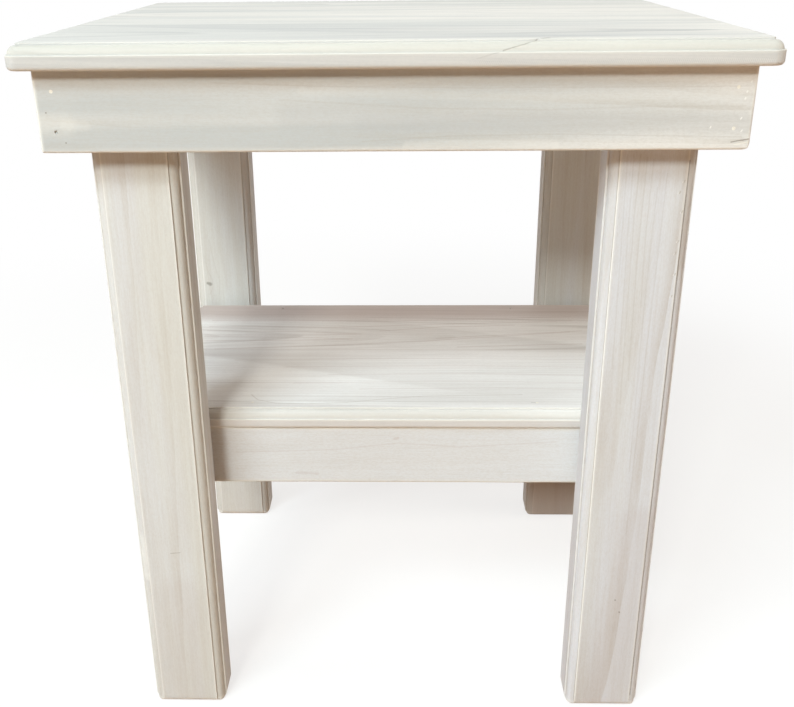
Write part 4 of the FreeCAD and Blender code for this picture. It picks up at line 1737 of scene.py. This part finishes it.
# Soft light of the room: axis, side and colour
SKY = (
    ("Z", 1, (0.20, 0.16, 0.12, 1)),
    ("X", -1, (0.25, 0.20, 0.14, 1)),
    ("X", 1, (0.24, 0.16, 0.09, 1)),
    ("Y", -1, (0.08, 0.055, 0.035, 1)),
    ("Y", 1, (0.80, 0.79, 0.77, 1)),
)

# Floor: its half size, what it sends up to the table, what the camera sees, and where that turns white
FLOOR_HALF = 8.0
FLOOR_TINT = (0.52, 0.325, 0.20, 1)
FLOOR_WHITE = (0.30, 0.30, 0.30, 1)
FLOOR_GLOW = (0.72, 0.72, 0.72, 1)
FLOOR_FADE_START = 0.5
FLOOR_FADE_END = 1.5
WHITE = (1, 1, 1, 1)
BLACK = (0, 0, 0, 1)


def heading(azimuth, elevation):
    """Direction from the table, turned from the front to the left and raised."""
    level = math.cos(elevation)
    return Vector((-math.sin(azimuth) * level, -math.cos(azimuth) * level, math.sin(elevation)))


def make_lamp(name, azimuth, elevation, width, height, watts, colour):
    """Pane of soft light that faces the table."""
    data = bpy.data.lights.new(name, "AREA")
    data.shape = "RECTANGLE"
    data.size = width
    data.size_y = height
    data.energy = watts
    data.color = colour
    lamp = bpy.data.objects.new(name, data)
    away = heading(math.radians(azimuth), math.radians(elevation))
    lamp.location = LAMP_AIM + away * LAMP_DISTANCE
    lamp.rotation_euler = (-away).to_track_quat("-Z", "Y").to_euler()
    bpy.context.scene.collection.objects.link(lamp)


def seen_directly(bench):
    """One for the rays that see the plain background: the camera's own, reflected or through glass."""
    path = bench.add("ShaderNodeLightPath").outputs
    seen = bench.math("MAXIMUM", path["Is Camera Ray"], path["Is Glossy Ray"])
    return bench.math("MAXIMUM", seen, path["Is Transmission Ray"])


def make_world():
    """Soft light from all round, and a plain white ground for the camera and for reflections."""
    world = bpy.data.worlds.new("studio")
    bpy.context.scene.world = world
    world.use_nodes = True
    world.node_tree.nodes.clear()
    bench = Bench(world.node_tree)
    way = bench.add("ShaderNodeTexCoord").outputs["Generated"]
    parts = bench.add("ShaderNodeSeparateXYZ", {0: way}).outputs
    soft = BLACK
    for axis, side, colour in SKY:
        toward = bench.math("MAXIMUM", bench.math("MULTIPLY", parts[axis], side), 0.0)
        soft = bench.mix(bench.math("MULTIPLY", toward, toward), soft, colour, "ADD")
    colour = bench.mix(seen_directly(bench), soft, WHITE)
    shader = bench.add("ShaderNodeBackground", {"Color": colour, "Strength": 1.0})
    output = bench.add("ShaderNodeOutputWorld")
    bench.feed(output.inputs["Surface"], shader.outputs[0])


def make_floor():
    """Plain pale floor that keeps the table's shadow and fades to white far from it."""
    bm = bmesh.new()
    bmesh.ops.create_grid(bm, x_segments=1, y_segments=1, size=FLOOR_HALF)
    floor = to_object("floor", bm)
    material, bench, surface = new_material("pale_floor")
    seen = seen_directly(bench)
    place = bench.add("ShaderNodeTexCoord").outputs["Object"]
    far = bench.ease(bench.vector("LENGTH", place), FLOOR_FADE_START, FLOOR_FADE_END)
    colour = bench.mix(seen, FLOOR_TINT, bench.mix(far, FLOOR_WHITE, BLACK))
    glow = bench.mix(seen, BLACK, bench.mix(far, FLOOR_GLOW, WHITE))
    inputs = {
        "Base Color": colour,
        "Roughness": 1.0,
        "Specular IOR Level": 0.0,
        "Emission Color": glow,
        "Emission Strength": 1.0,
    }
    shader = bench.add("ShaderNodeBsdfPrincipled", inputs)
    bench.feed(surface, shader.outputs["BSDF"])
    floor.data.materials.append(material)


make_camera()
for lamp in LAMPS:
    make_lamp(*lamp)
make_world()
make_floor()
bpy.context.scene.view_settings.view_transform = "Standard"
